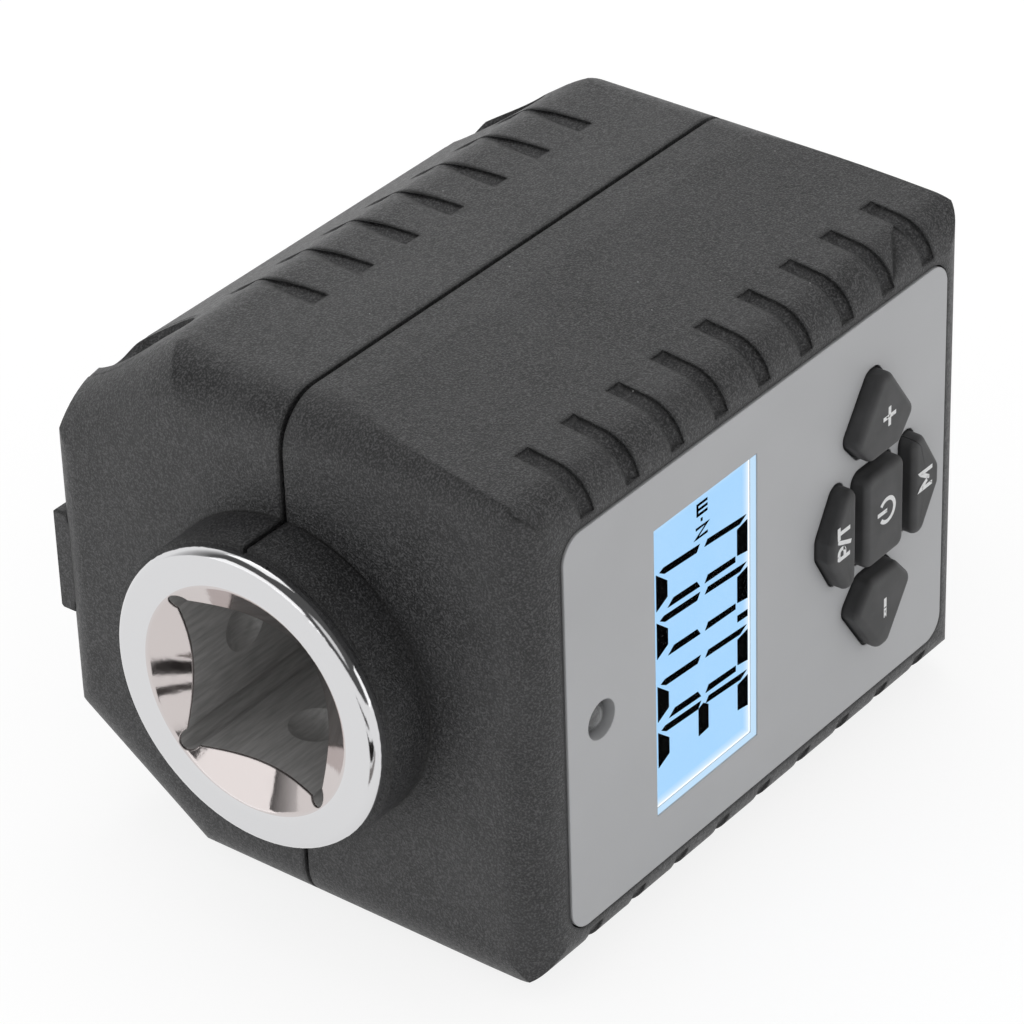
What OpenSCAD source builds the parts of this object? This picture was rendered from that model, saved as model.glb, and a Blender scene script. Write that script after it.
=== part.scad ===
// Digital torque adapter: a square drive spindle clamped between the two halves of a moulded
// housing, with a display and five keys on the front and a battery bay on the back.
// X runs along the drive axis, from the wrench end to the drive end. The front faces -Y.
// The origin lies on the drive axis, at the wrench end's outer face.

/* [Spindle] */
// Across flats of the male square
male_af = 12.7; // [12.5:0.05:12.8]
// Length of the male square
male_len = 14.5; // [13:0.5:18]
// Radius on which the male square's corners are turned
male_corner_r = 8.4; // [8:0.1:8.8]
// Chamfer at the tip of the male square
male_chamfer = 1.1; // [0.6:0.1:1.6]
// Across flats of the female square
socket_af = 12.9; // [12.85:0.05:13.1]
// Depth of the female square
socket_depth = 16.4; // [15.5:0.1:17]
// Radius of the relief in the female square's corners
socket_relief_r = 0.8; // [0.5:0.1:0.9]
// Radius of the countersunk mouth of the female square
mouth_r = 9.5; // [9.4:0.1:10]
// Depth of the countersunk mouth
mouth_depth = 1.8; // [1.2:0.1:2.4]
// Rounding between the ring's face and the mouth
mouth_edge_r = 1.5; // [0.5:0.1:2]
// Distance of the detent dimples from the wrench end
dimple_x = 7.8; // [7:0.1:9]
// Radius of the ball that forms a dimple
dimple_r = 3; // [2.6:0.1:3.4]
// Depth of a detent dimple below its flat
dimple_depth = 0.9; // [0.5:0.1:1]
// Radius of the bright ring at the wrench end
ring_r = 12.3; // [11.8:0.1:12.4]
// Thickness of the ring
ring_t = 1.3; // [1:0.1:2]
// Rounding of the ring's outer edge
ring_edge_r = 0.7; // [0.3:0.1:0.9]
// Radius of both journals
journal_r = 10.5; // [10.4:0.1:10.8]
// Length of the journal round the female square
front_journal_len = 18.7; // [18:0.1:20]
// Length of the journal at the drive end
rear_journal_len = 17.7; // [17:0.1:19]
// Across flats of the gauged bar between the journals
bar_af = 12; // [10:0.5:13]
// Rounding of the gauged bar's long edges
bar_edge_r = 2.4; // [1.5:0.1:3]
// Length of the taper from a journal to the bar
taper_len = 3; // [2:0.1:4]
// Radius of the shoulder behind the male square
shoulder_r = 11.6; // [11:0.1:12]
// Thickness of that shoulder
shoulder_t = 1; // [0.8:0.1:1.5]

/* [Detent] */
// Radius of the detent ball
ball_r = 2.2; // [1.8:0.1:2.4]
// How far the ball stands out of its flat
ball_proud = 1.2; // [0.8:0.1:1.3]
// Distance of the ball from the tip of the male square
ball_inset = 7.2; // [6.5:0.1:8]
// Length of the detent spring at rest
detent_spring_len = 6; // [5:0.1:7]
// Wire diameter of the detent spring
detent_wire = 0.5; // [0.4:0.05:0.6]
// Turns of the detent spring
detent_turns = 5; // [4:1:5]

/* [Housing] */
// Length of the housing between its end faces
body_len = 55.5; // [54:0.5:60]
// Length of the collar at the wrench end
front_collar_len = 4.4; // [3:0.1:6]
// Length of the collar at the drive end
rear_collar_len = 2.5; // [2:0.1:4]
// Radius of both collars
collar_r = 12.6; // [12.4:0.1:13]
// Half of the housing's width at the parting line
half_w = 22.2; // [22:0.1:24]
// Distance from the axis to the front edge of the housing
front_y = 22.25; // [22:0.05:24]
// Height above the parting line at which the front sides start to draw in
draft_start = 4; // [3:0.5:6]
// Rounding of the front edges
edge_r = 3.5; // [2.5:0.1:3.8]
// Rounding of the four upright corners
corner_r = 4; // [3:0.1:4.5]
// Rounding of the back edges at the two ends
rear_edge_r = 3; // [1.5:0.1:3]
// Distance from the axis to the crown of the back
crown_y = 23.5; // [23.5:0.1:25]
// Radius of the crowned back
crown_r = 66; // [55:1:90]
// Half width of the crowned back
crown_half_w = 15.8; // [15.5:0.1:16.5]
// Slope of the back flanks
flank_deg = 35; // [32:0.5:37]
// Rounding between the sides and the back flanks
ridge_r = 5; // [3:0.1:6]
// Rounding between the back flanks and the crowned back
flank_edge_r = 1.5; // [1:0.1:2]
// Rounding of the flanks at the two ends
flank_end_r = 5; // [3:0.1:6]
// Wall thickness
wall = 2; // [1.8:0.1:2.2]
// Width of the groove along the parting line
seam_w = 0.4; // [0.2:0.05:0.6]
// Thickness of the tongue inside the parting line
tongue_t = 0.9; // [0.7:0.05:1]
// Height of that tongue
tongue_h = 1.2; // [0.8:0.1:1.6]

/* [Grip] */
// Number of grip grooves along each front edge
groove_count = 9; // [7:1:9]
// Spacing of the grip grooves
groove_pitch = 5.35; // [5.2:0.05:5.4]
// How far the row of grip grooves sits towards the drive end
groove_shift = 0.3; // [0:0.1:0.5]
// Width of a grip groove
groove_w = 1.55; // [1.2:0.05:2]
// Depth of a grip groove
groove_depth = 0.8; // [0.4:0.1:0.9]
// Reach of a grip groove along the side, measured from the front
groove_reach = 5.8; // [5:0.1:7]
// Distance of a grip groove's front end from the face plate's recess
groove_stop = 0.65; // [0.4:0.05:1]
// Number of grip slots along each back ridge
slot_count = 7; // [5:1:8]
// Spacing of the grip slots
slot_pitch = 5.37; // [5:0.01:5.6]
// How far the row of grip slots sits towards the drive end
slot_shift = 1.7; // [0:0.1:2]
// Width of a grip slot
slot_w = 1.7; // [1.4:0.1:2]
// Depth of a grip slot at its deep end
slot_depth = 0.9; // [0.6:0.1:1]
// Distance of a slot's deep end from the parting line
slot_y = 7; // [6:0.1:8]

/* [Face plate] */
// Length of the face plate
plate_len = 48.4; // [48:0.1:49]
// Width of the face plate
plate_w = 34.1; // [33:0.1:34.2]
// Thickness of the face plate
plate_t = 1.2; // [0.9:0.1:1.3]
// Corner rounding of the face plate
plate_r = 2; // [1:0.1:3]
// How far the face plate stands out of the housing
plate_proud = 0.1; // [0:0.05:0.2]
// Length of the display window along the drive axis
window_len = 12.75; // [12:0.05:13]
// Width of the display window
window_w = 25.1; // [24:0.1:26]
// Distance from the face plate's wrench end to the window
window_x = 10.55; // [10.4:0.05:10.7]
// Distance from the face plate's wrench end to the indicator
lamp_x = 4; // [3.8:0.1:4.2]
// Radius of the indicator's hole
lamp_hole_r = 1.6; // [1.55:0.05:1.7]

/* [Display] */
// Thickness of the window lens
lens_t = 0.55; // [0.4:0.05:0.8]
// Length of the display glass along the drive axis
glass_len = 16.5; // [16:0.1:17]
// Width of the display glass
glass_w = 28.4; // [27:0.1:29]
// Thickness of the display glass behind the housing's front wall
glass_t = 2.2; // [1.8:0.1:2.4]
// Length of the backlight along the drive axis
light_len = 13.4; // [13:0.1:13.8]
// Width of the backlight
light_w = 26; // [25:0.1:27]
// Thickness of the backlight
light_t = 2.6; // [2:0.1:3]
// Width of the contact strip beside the backlight
strip_w = 1.4; // [1:0.1:1.6]

/* [Keys] */
// Distance from the face plate's drive end to the middle of the keys
keys_inset = 10.1; // [10:0.05:10.4]
// How far the keys stand out of the face plate
key_proud = 1.5; // [1.2:0.1:2]
// Travel of a key
key_travel = 0.6; // [0.3:0.05:0.6]
// Gap between a key and the edge of its hole
key_gap = 0.2; // [0.15:0.05:0.25]
// Half length of the middle key along the drive axis
power_half_x = 2.6; // [2.4:0.05:2.7]
// Half width of the middle key
power_half_z = 4.1; // [3.8:0.1:4.2]
// Space between the middle key and its neighbours
key_space = 1.25; // [1.2:0.05:1.4]
// Reach of the two end keys away from the middle key
end_key_reach = 3.5; // [3.2:0.1:3.6]
// Half width of the two end keys
end_key_half_z = 4.8; // [4.5:0.1:5]
// Reach of the two side keys away from the middle key
side_key_reach = 6.9; // [6.5:0.1:7]
// Half length of the two side keys along the drive axis
side_key_half_x = 3.9; // [3.6:0.1:4]
// Rounding of the keys' corners
key_r = 0.9; // [0.7:0.1:1]
// Width of the bevel round a key's top
key_bevel = 0.45; // [0.3:0.05:0.5]
// Width of the lip that holds a key in
key_lip = 0.35; // [0.3:0.05:0.4]
// Thickness of that lip
key_lip_t = 0.9; // [0.7:0.1:1]
// Radius of the stem behind a key
key_stem_r = 1; // [0.8:0.1:1.2]

/* [Circuit board] */
// Space between the housing's front wall and the board
board_space = 6; // [5.8:0.1:6.4]
// Thickness of the board
board_t = 1.6; // [1.2:0.1:1.7]
// Width of the board
board_w = 28.6; // [28.4:0.1:28.8]
// Gap between the board and the end walls
board_end_gap = 1.2; // [1:0.1:1.3]
// Width of a key switch
switch_w = 3.6; // [3:0.1:3.8]
// Height of a key switch
switch_h = 1.8; // [1.4:0.1:2]
// Radius of a switch plunger
plunger_r = 0.8; // [0.6:0.1:0.9]
// Height of a switch plunger
plunger_h = 0.6; // [0.4:0.1:0.7]
// Radius of the sounder
sounder_r = 3.3; // [3:0.1:3.4]
// Height of the sounder
sounder_h = 3.6; // [3:0.1:4]
// Radius of the indicator lamp's lens
lamp_r = 1.5; // [1.4:0.05:1.5]
// Depth of the lamp's tip below the face plate
lamp_sink = 0.2; // [0:0.05:0.3]
// Length of the lamp from tip to flange
lamp_len = 5; // [4.6:0.1:5.4]
// Width of the flange round the lamp's foot
lamp_flange = 0.35; // [0.2:0.05:0.4]
// Thickness of the lamp's leads
lead_t = 0.5; // [0.4:0.05:0.6]
// Side of the controller chip
chip_w = 8; // [6:0.5:9]
// Height of the board's chips
chip_h = 1; // [0.8:0.1:1.1]
// Thickness of a strain gauge
gauge_t = 0.2; // [0.15:0.05:0.3]
// Length of a strain gauge
gauge_len = 7; // [5:0.5:8]
// Width of a strain gauge
gauge_w = 5; // [4:0.5:6]
// Thickness of the flexible lead
flex_t = 0.2; // [0.15:0.05:0.3]
// Width of the flexible lead
flex_w = 3; // [2:0.5:4]

/* [Battery bay] */
// Radius of a battery cell
cell_r = 5.25; // [5:0.05:5.3]
// Length of a battery cell without its nub
cell_len = 43.7; // [43:0.1:44.2]
// Radius of a cell's nub
nub_r = 1.9; // [1.7:0.1:2]
// Length of a cell's nub
nub_len = 0.8; // [0.7:0.1:1]
// Distance of the cells' axes from the middle plane
cell_z = 7.2; // [7.1:0.1:7.4]
// Distance of the cells' axes from the parting line
cell_y = 15.7; // [15.6:0.1:15.9]
// Gap round a cell in its cradle
cell_gap = 0.25; // [0.15:0.05:0.3]
// Thickness of the bay's side walls
bay_wall = 1.2; // [1:0.1:1.4]
// Thickness of the bay's end walls
bay_end_wall = 1.3; // [1:0.1:1.6]
// Thickness of the battery contacts
contact_t = 0.4; // [0.3:0.05:0.5]
// Length of a fitted contact spring
contact_spring_len = 1.85; // [1.7:0.05:2.2]
// Turns of a contact spring
contact_turns = 2; // [1:1:3]
// Half width of the battery cover
cover_half_w = 13.4; // [13.3:0.1:13.6]
// Number of finger grooves across the thumb pad
pad_groove_count = 3; // [1:1:4]
// Thickness of the battery cover
cover_t = 1.5; // [1.3:0.1:1.6]
// Distance of the battery cover from each end face
cover_inset = 3; // [2.8:0.1:3.4]
// Gap round the battery cover
cover_gap = 0.15; // [0.1:0.05:0.25]
// Gap under the battery cover
seat_gap = 0.1; // [0.05:0.05:0.2]
// Corner rounding of the battery cover
cover_r = 2; // [1:0.1:3]
// Half width of the cover's raised thumb pad
pad_half_w = 4.4; // [4:0.1:5]
// Length of the thumb pad
pad_len = 9.5; // [8:0.1:12]
// Distance of the thumb pad from the wrench end face
pad_inset = 0.8; // [0.7:0.1:1.2]
// Height of the thumb pad above the crown
pad_h = 0.9; // [0.6:0.1:1.5]
// Diameter of the battery leads
wire_d = 1.2; // [1:0.1:1.3]

/* [Fasteners] */
// Distance of the housing screws from the end faces
screw_inset = 6.5; // [6.3:0.1:7]
// Distance of the housing screws from the middle plane
screw_z = 17.4; // [17.4:0.05:17.6]
// Radius of the housing screws
screw_r = 1.2; // [1:0.1:1.25]
// Radius of their heads
screw_head_r = 2.1; // [1.9:0.1:2.2]
// Height of their heads
screw_head_h = 1.6; // [1.2:0.1:1.8]
// Distance of the screw heads' seats from the parting line
screw_seat_y = 8; // [6:0.5:9]
// Reach of the screws past the parting line
screw_reach = 7; // [6:0.5:9]
// Radius of the recesses that lead to the heads
counterbore_r = 3.6; // [3:0.1:3.7]
// Radius of the screw bosses
boss_r = 2.9; // [2.5:0.1:2.9]
// Radius of the board's screws
board_screw_r = 0.9; // [0.8:0.1:1]
// Radius of their heads
board_screw_head_r = 1.7; // [1.5:0.1:1.8]
// Height of their heads
board_screw_head_h = 1.1; // [0.9:0.1:1.3]
// Radius of the posts that carry the board
post_r = 1.9; // [1.7:0.1:2]
// Thickness of the ribs that hold the spindle
rib_t = 2.4; // [2:0.1:3]
// Distance of those ribs from the drive end face
rib_inset = 14.2; // [14:0.1:15]
// Distance of the spindle's flats from the middle plane
flat_z = 9; // [8.8:0.1:9.2]

/* [Clearances] */
// Gap between the spindle and what surrounds it
spindle_gap = 0.1; // [0.05:0.05:0.15]
// Gap round fitted pieces
fit_gap = 0.15; // [0.1:0.05:0.2]
// Gap between the window lens and the display
lens_gap = 0.1; // [0.05:0.05:0.2]
// Gap round the ball in its bore
ball_gap = 0.05; // [0.03:0.01:0.08]
// Gap between a key stem at full travel and its plunger
stem_gap = 0.1; // [0.05:0.05:0.15]

/* [Hidden] */
$fn = 64;

// Overrun of every cut past the surface that it opens
over = 0.5;
// Overlap that fuses two shapes of one piece
fuse = 0.3;
// Facets of the small drawn outlines
outline_fn = 32;

// Places along the drive axis
body_x0 = ring_t + front_collar_len;
body_x1 = body_x0 + body_len;
spindle_x1 = body_x1 + rear_collar_len;
male_x0 = spindle_x1 + shoulder_t;
male_x1 = male_x0 + male_len;
bar_x0 = ring_t + front_journal_len;
bar_x1 = spindle_x1 - rear_journal_len;
rib_x0 = body_x1 - rib_inset;
mid_x = (body_x0 + body_x1) / 2;
plate_x0 = mid_x - plate_len / 2;
plate_x1 = mid_x + plate_len / 2;
window_x0 = plate_x0 + window_x;
window_x1 = window_x0 + window_len;
window_mid_x = (window_x0 + window_x1) / 2;
lamp_cx = plate_x0 + lamp_x;
keys_cx = plate_x1 - keys_inset;

// Heights along Y, from the front backwards
plate_y0 = -front_y - plate_proud;
plate_y1 = plate_y0 + plate_t;
front_in_y = -front_y + wall + plate_t / 2;
board_y0 = front_in_y + board_space;
board_y1 = board_y0 + board_t;
lens_y0 = plate_y0 + plate_proud / 2;
lens_y1 = lens_y0 + lens_t;
glass_y1 = front_in_y + glass_t;
light_y1 = glass_y1 + light_t;
key_top_y = plate_y0 - key_proud;
switch_y0 = board_y0 - switch_h;
plunger_y0 = switch_y0 - plunger_h;
stem_y1 = plunger_y0 - stem_gap - key_travel;

// Front corner of the cross section, and where the drafted side meets its rounding
edge_cy = -front_y + edge_r;
edge_cz = plate_w / 2 + fit_gap;
draft_v = [edge_cy + draft_start, edge_cz - half_w];
draft_d = norm(draft_v);
draft_l = sqrt(draft_d * draft_d - edge_r * edge_r);
draft_a = atan2(draft_v[1], draft_v[0]) - asin(edge_r / draft_d);
draft_p = [-draft_start + draft_l * cos(draft_a), half_w + draft_l * sin(draft_a)];

// Back flank: n . p = flank_d in the (y, z) plane
crown_c = crown_y - crown_r;
crown_edge_y = crown_c + sqrt(crown_r * crown_r - crown_half_w * crown_half_w);
flank_n = [sin(flank_deg), cos(flank_deg)];
flank_t = [cos(flank_deg), -sin(flank_deg)];
flank_d = flank_n * [crown_edge_y, crown_half_w];
ridge_z = half_w - ridge_r;
ridge_y = (flank_d - ridge_r - flank_n[1] * ridge_z) / flank_n[0];
edge_run = flank_d - flank_edge_r - flank_n[0] * crown_c;
edge_half = sqrt(pow(crown_r - flank_edge_r, 2) - edge_run * edge_run);
edge_c = [crown_c, 0] + edge_run * flank_n + edge_half * flank_t;
edge_out = (edge_c - [crown_c, 0]) / norm(edge_c - [crown_c, 0]);
flank_in_d = flank_d - wall;
flank_in_y = (flank_in_d - flank_n[1] * (half_w - wall)) / flank_n[0];

// Battery bay along X, and the height of the floor on which the cover sits
bay_x0 = body_x0 + wall + bay_end_wall;
bay_x1 = body_x1 - wall - bay_end_wall;
cell_x0 = bay_x0 + contact_t + contact_spring_len;
cover_x0 = body_x0 + cover_inset;
cover_x1 = body_x1 - cover_inset;
pad_x0 = body_x0 + pad_inset;
pad_y1 = crown_y + pad_h;
seat_r = crown_r - cover_t - seat_gap;
plate_low_y = cell_y - cell_r + over;
plate_half = cell_r - over;
opening_half_w = cell_z + cell_r + cell_gap;
wire_x = bay_x0 + wire_d / 2;
wire_z = opening_half_w - wire_d / 2;
bay_low_y = sqrt(pow(journal_r + spindle_gap, 2) - pow(cell_z, 2)) + bay_wall;

board_x0 = body_x0 + wall + board_end_gap;
board_x1 = body_x1 - wall - board_end_gap;
screw_places = [for (x = [body_x0 + screw_inset, body_x1 - screw_inset], s = [-1, 1]) [x, s * screw_z]];
post_places = [
    [board_x0 + post_r + over, -board_w / 3],
    [board_x1 - post_r - fuse / 2, -board_w / 2 + post_r + over / 2],
    [board_x1 - post_r - fuse / 2, board_w / 2 - post_r - over / 2]];
sounder_cx = wire_x + wire_d + over + sounder_r;
sounder_cz = board_w / 2 - sounder_r;

// Key outlines in (x, z), measured from the middle of the keys, before rounding
key_blunt_share = 0.17;
key_side_share = 0.33;
end_in = power_half_x + key_space;
end_pts = [[end_in, -end_key_half_z * (1 - key_blunt_share)],
    [end_in + end_key_reach * key_side_share, -end_key_half_z],
    [end_in + end_key_reach, -end_key_half_z * key_blunt_share],
    [end_in + end_key_reach, end_key_half_z * key_blunt_share],
    [end_in + end_key_reach * key_side_share, end_key_half_z],
    [end_in, end_key_half_z * (1 - key_blunt_share)]];
side_in = power_half_z + key_space;
side_pts = [[-side_key_half_x * (1 - 3 * key_blunt_share), side_in],
    [-side_key_half_x, side_in + side_key_reach * key_side_share],
    [-side_key_half_x * key_blunt_share, side_in + side_key_reach],
    [side_key_half_x * key_blunt_share, side_in + side_key_reach],
    [side_key_half_x, side_in + side_key_reach * key_side_share],
    [side_key_half_x * (1 - 3 * key_blunt_share), side_in]];
power_pts = [[-power_half_x, -power_half_z], [power_half_x, -power_half_z],
    [power_half_x, power_half_z], [-power_half_x, power_half_z]];

function flip_x(pts) = [for (i = [len(pts) - 1:-1:0]) [-pts[i][0], pts[i][1]]];
function flip_z(pts) = [for (i = [len(pts) - 1:-1:0]) [pts[i][0], -pts[i][1]]];
function centre(pts) = [for (k = [0, 1]) (min([for (p = pts) p[k]]) + max([for (p = pts) p[k]])) / 2];
key_outlines = [power_pts, flip_x(end_pts), end_pts, side_pts, flip_z(side_pts)];

// Working shapes

module box(lo, hi) {
    translate(lo)
        cube(hi - lo);
}

module x_rod(x0, x1, r) {
    translate([x0, 0, 0])
        rotate([0, 90, 0])
            cylinder(h = x1 - x0, r = r);
}

module y_rod(x, z, y0, y1, r) {
    translate([x, y1, z])
        rotate([90, 0, 0])
            cylinder(h = y1 - y0, r = r);
}

// A (y, z) outline carried along X
module along_x(x0, x1) {
    translate([x0, 0, 0])
        rotate([90, 0, 90])
            linear_extrude(x1 - x0)
                children();
}

// An (x, z) outline carried along Y
module along_y(y0, y1) {
    translate([0, y1, 0])
        rotate([90, 0, 0])
            linear_extrude(y1 - y0)
                children();
}

module round_rect(lo, hi, r) {
    translate(lo + [r, 0])
        square(hi - lo - [2 * r, 0]);
    translate(lo + [0, r])
        square(hi - lo - [0, 2 * r]);
    for (x = [lo[0] + r, hi[0] - r], y = [lo[1] + r, hi[1] - r])
        translate([x, y])
            circle(r);
}

module mirror_z() {
    children();
    mirror([0, 0, 1])
        children();
}

// Housing outlines

module front_section() {
    polygon([[-seam_w / 2, half_w], [-draft_start, half_w], draft_p, [edge_cy, edge_cz],
        [-front_y, edge_cz], [-front_y, -edge_cz], [edge_cy, -edge_cz],
        [draft_p[0], -draft_p[1]], [-draft_start, -half_w], [-seam_w / 2, -half_w]]);
    for (s = [-1, 1])
        translate([edge_cy, s * edge_cz])
            circle(edge_r);
}

module rear_section() {
    beyond = edge_c + edge_out * (flank_edge_r + 2 * over);
    half = [[seam_w / 2, half_w], [ridge_y, half_w], [ridge_y, ridge_z],
        [ridge_y, ridge_z] + ridge_r * flank_n, edge_c + flank_edge_r * flank_n, edge_c, beyond];
    intersection() {
        translate([crown_c, 0])
            circle(crown_r, $fn = 4 * $fn);
        union() {
            polygon(concat(half, [for (i = [len(half) - 1:-1:0]) [half[i][0], -half[i][1]]]));
            for (s = [-1, 1]) {
                translate([ridge_y, s * ridge_z])
                    circle(ridge_r);
                translate([edge_c[0], s * edge_c[1]])
                    circle(flank_edge_r);
            }
        }
    }
}

module plan_outline(inset = 0) {
    round_rect([body_x0 + inset, -half_w + inset], [body_x1 - inset, half_w - inset],
        corner_r - inset);
}

// Side view of the housing, with the front and back edges rounded
module side_outline() {
    round_rect([body_x0, -front_y], [body_x1, 0], edge_r);
    translate([body_x0, -front_y / 2])
        square([body_len, front_y / 2 + rear_edge_r]);
    round_rect([body_x0, 0], [body_x1, crown_y], rear_edge_r);
}

module side_trim() {
    translate([0, 0, -half_w - over])
        linear_extrude(2 * (half_w + over))
            side_outline();
}

// Bore through both halves for the spindle
module spindle_bore() {
    x_rod(0, male_x1, journal_r + spindle_gap);
}

module half_space(front) {
    reach = crown_y + pad_h + over;
    box([-over, front ? -reach : seam_w / 2, -half_w - over],
        [male_x1, front ? -seam_w / 2 : reach, half_w + over]);
}

module collars() {
    x_rod(ring_t, body_x0 + wall, collar_r);
    x_rod(body_x1 - wall, spindle_x1, collar_r);
}

// Ring round the inside of the parting line, clear of the collars
module tongue_ring(gap) {
    difference() {
        along_y(-seam_w / 2 - tongue_h, seam_w / 2 + fuse)
            difference() {
                plan_outline(wall - tongue_t - gap);
                plan_outline(wall);
            }
        x_rod(0, male_x1, collar_r + (gap > 0 ? 0 : fit_gap));
    }
}

// Grip groove round a front edge
module edge_groove(x) {
    along_x(x - groove_w / 2, x + groove_w / 2)
        difference() {
            translate([-front_y - over, edge_cz + groove_stop])
                square([groove_reach + over, edge_r + 2 * over]);
            translate([edge_cy, edge_cz])
                circle(edge_r - groove_depth);
            translate([edge_cy, 0])
                square([half_w, edge_cz + edge_r - groove_depth]);
        }
}

// Grip slot across a back ridge: deep at its front end, fading out on the flank
module ridge_slot(x) {
    r = slot_w / 2;
    run = ridge_y + ridge_r - slot_y;
    tail_z = (flank_d - flank_n[0] * (slot_y + run)) / flank_n[1];
    drop = half_w - slot_depth - tail_z;
    translate([x, slot_y, half_w - slot_depth + r])
        rotate([-90 - atan2(drop, run), 0, 0])
            cylinder(h = run + ridge_r, r = r);
}

// Rounds the ends of the flanks
module flank_trim() {
    reach = 2 * crown_y;
    rotate([90 - flank_deg, 0, 0])
        translate([0, 0, -reach])
            linear_extrude(2 * reach)
                round_rect([body_x0, -reach], [body_x1, flank_d], flank_end_r);
}

// Housing pieces

module front_shell() {
    color([0.27, 0.27, 0.28])
        difference() {
            union() {
                difference() {
                    front_outer();
                    front_cavity();
                }
                intersection() {
                    front_outer();
                    front_details();
                }
                intersection() {
                    collars();
                    half_space(true);
                }
            }
            spindle_bore();
            tongue_ring(fit_gap);
            plate_recess();
            for (p = screw_places)
                y_rod(p[0], p[1], -screw_reach - over, 0, screw_r);
            for (p = post_places)
                y_rod(p[0], p[1], front_in_y, board_y0 + over, board_screw_r);
        }
}

module front_outer() {
    difference() {
        intersection() {
            along_x(body_x0, body_x1)
                front_section();
            along_y(-front_y, 0)
                plan_outline();
            side_trim();
        }
        for (i = [0:groove_count - 1])
            mirror_z()
                edge_groove(mid_x + groove_shift + (i - (groove_count - 1) / 2) * groove_pitch);
    }
}

module front_cavity() {
    in_w = half_w - wall;
    half = [[over, in_w], [-draft_start, in_w], [edge_cy, draft_p[1] - wall + fit_gap],
        [front_in_y, edge_cz + edge_r / 4]];
    intersection() {
        along_x(body_x0 + wall, body_x1 - wall)
            polygon(concat(half, flip_z(half)));
        along_y(front_in_y, over)
            plan_outline(wall);
    }
}

// Screw bosses, board posts and the ribs that key into the spindle's flats
module front_details() {
    for (p = screw_places)
        y_rod(p[0], p[1], front_in_y - fuse, -seam_w / 2, boss_r);
    for (p = post_places)
        y_rod(p[0], p[1], front_in_y - fuse, board_y0, post_r);
    mirror_z()
        box([rib_x0, -rib_reach(), flat_z], [rib_x0 + rib_t, -seam_w / 2, half_w - wall + fuse]);
}

function rib_reach() = journal_r - 2 * wall + fuse;

module plate_recess() {
    along_y(-front_y - over, plate_y1)
        round_rect([plate_x0 - fit_gap, -plate_w / 2 - fit_gap],
            [plate_x1 + fit_gap, plate_w / 2 + fit_gap], plate_r + fit_gap);
    along_y(plate_y1 - over, front_in_y + over)
        window_outline(fit_gap);
    y_rod(lamp_cx, 0, plate_y1 - over, front_in_y + over, lamp_hole_r + fit_gap);
    for (k = key_outlines)
        along_y(plate_y1 - over, front_in_y + over)
            key_shape(k, key_gap);
}

module window_outline(grow) {
    translate([window_x0 - grow, -window_w / 2 - grow])
        square([window_len + 2 * grow, window_w + 2 * grow]);
}

module key_shape(pts, grow) {
    translate([keys_cx, 0])
        offset(r = key_r + grow, $fn = outline_fn)
            offset(delta = -key_r)
                polygon(pts);
}

module rear_shell() {
    color([0.26, 0.26, 0.27])
        difference() {
            union() {
                difference() {
                    rear_outer();
                    rear_cavity();
                }
                intersection() {
                    rear_outer();
                    rear_details();
                }
                intersection() {
                    collars();
                    half_space(false);
                }
                tongue_ring(0);
            }
            spindle_bore();
            bay_cut();
            cover_recess();
            for (p = screw_places) {
                y_rod(p[0], p[1], -seam_w - tongue_h, crown_y, screw_r + fit_gap);
                y_rod(p[0], p[1], screw_seat_y, crown_y, counterbore_r);
            }
        }
}

module rear_outer() {
    difference() {
        intersection() {
            along_x(body_x0, body_x1)
                rear_section();
            along_y(0, crown_y + over)
                plan_outline();
            side_trim();
            flank_trim();
            mirror([0, 0, 1])
                flank_trim();
        }
        for (i = [0:slot_count - 1])
            mirror_z()
                ridge_slot(mid_x + slot_shift + (i - (slot_count - 1) / 2) * slot_pitch);
    }
}

module rear_cavity() {
    in_w = half_w - wall;
    in_y = crown_edge_y - cover_t;
    in_z = (flank_in_d - flank_n[0] * in_y) / flank_n[1];
    intersection() {
        along_x(body_x0 + wall, body_x1 - wall)
            polygon([[-over, in_w], [flank_in_y, in_w], [in_y, in_z], [in_y, -in_z],
                [flank_in_y, -in_w], [-over, -in_w]]);
        along_y(-over, in_y)
            plan_outline(wall);
    }
}

// Screw bosses, battery bay block and the ribs that key into the spindle's flats
module rear_details() {
    for (p = screw_places) {
        y_rod(p[0], p[1], seam_w / 2, screw_seat_y, boss_r);
        y_rod(p[0], p[1], screw_seat_y - bay_wall, crown_y, counterbore_r + bay_wall);
    }
    mirror_z()
        box([rib_x0, seam_w / 2, flat_z], [rib_x0 + rib_t, rib_reach(), half_w - wall + fuse]);
    box([body_x0 + wall - fuse, bay_low_y, -opening_half_w - bay_wall],
        [body_x1 - wall + fuse, crown_y, opening_half_w + bay_wall]);
}

// Cradles for the cells and their way out, slots for the contacts and channels for the leads
module bay_cut() {
    slot = contact_t + fit_gap;
    slot_half = cell_z + plate_half + fit_gap;
    for (x = [bay_x0, bay_x1 - slot])
        box([x, plate_low_y, -slot_half], [x + slot, crown_y + over, slot_half]);
    mirror_z()
        y_rod(wire_x, wire_z, 0, plate_low_y, wire_d / 2 + fit_gap);
    for (s = [-1, 1]) {
        translate([0, cell_y, s * cell_z])
            x_rod(bay_x0, bay_x1, cell_r + cell_gap);
        box([bay_x0, cell_y, min(0, s) * opening_half_w],
            [bay_x1, crown_y + over, max(0, s) * opening_half_w]);
    }
}

module cover_outline(grow) {
    round_rect([cover_x0 - grow, -cover_half_w - grow], [cover_x1 + grow, cover_half_w + grow],
        cover_r + grow);
}

module pad_outline(grow) {
    round_rect([pad_x0 - grow, -pad_half_w - grow], [pad_x0 + pad_len, pad_half_w + grow],
        cover_r / 2);
}

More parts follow.
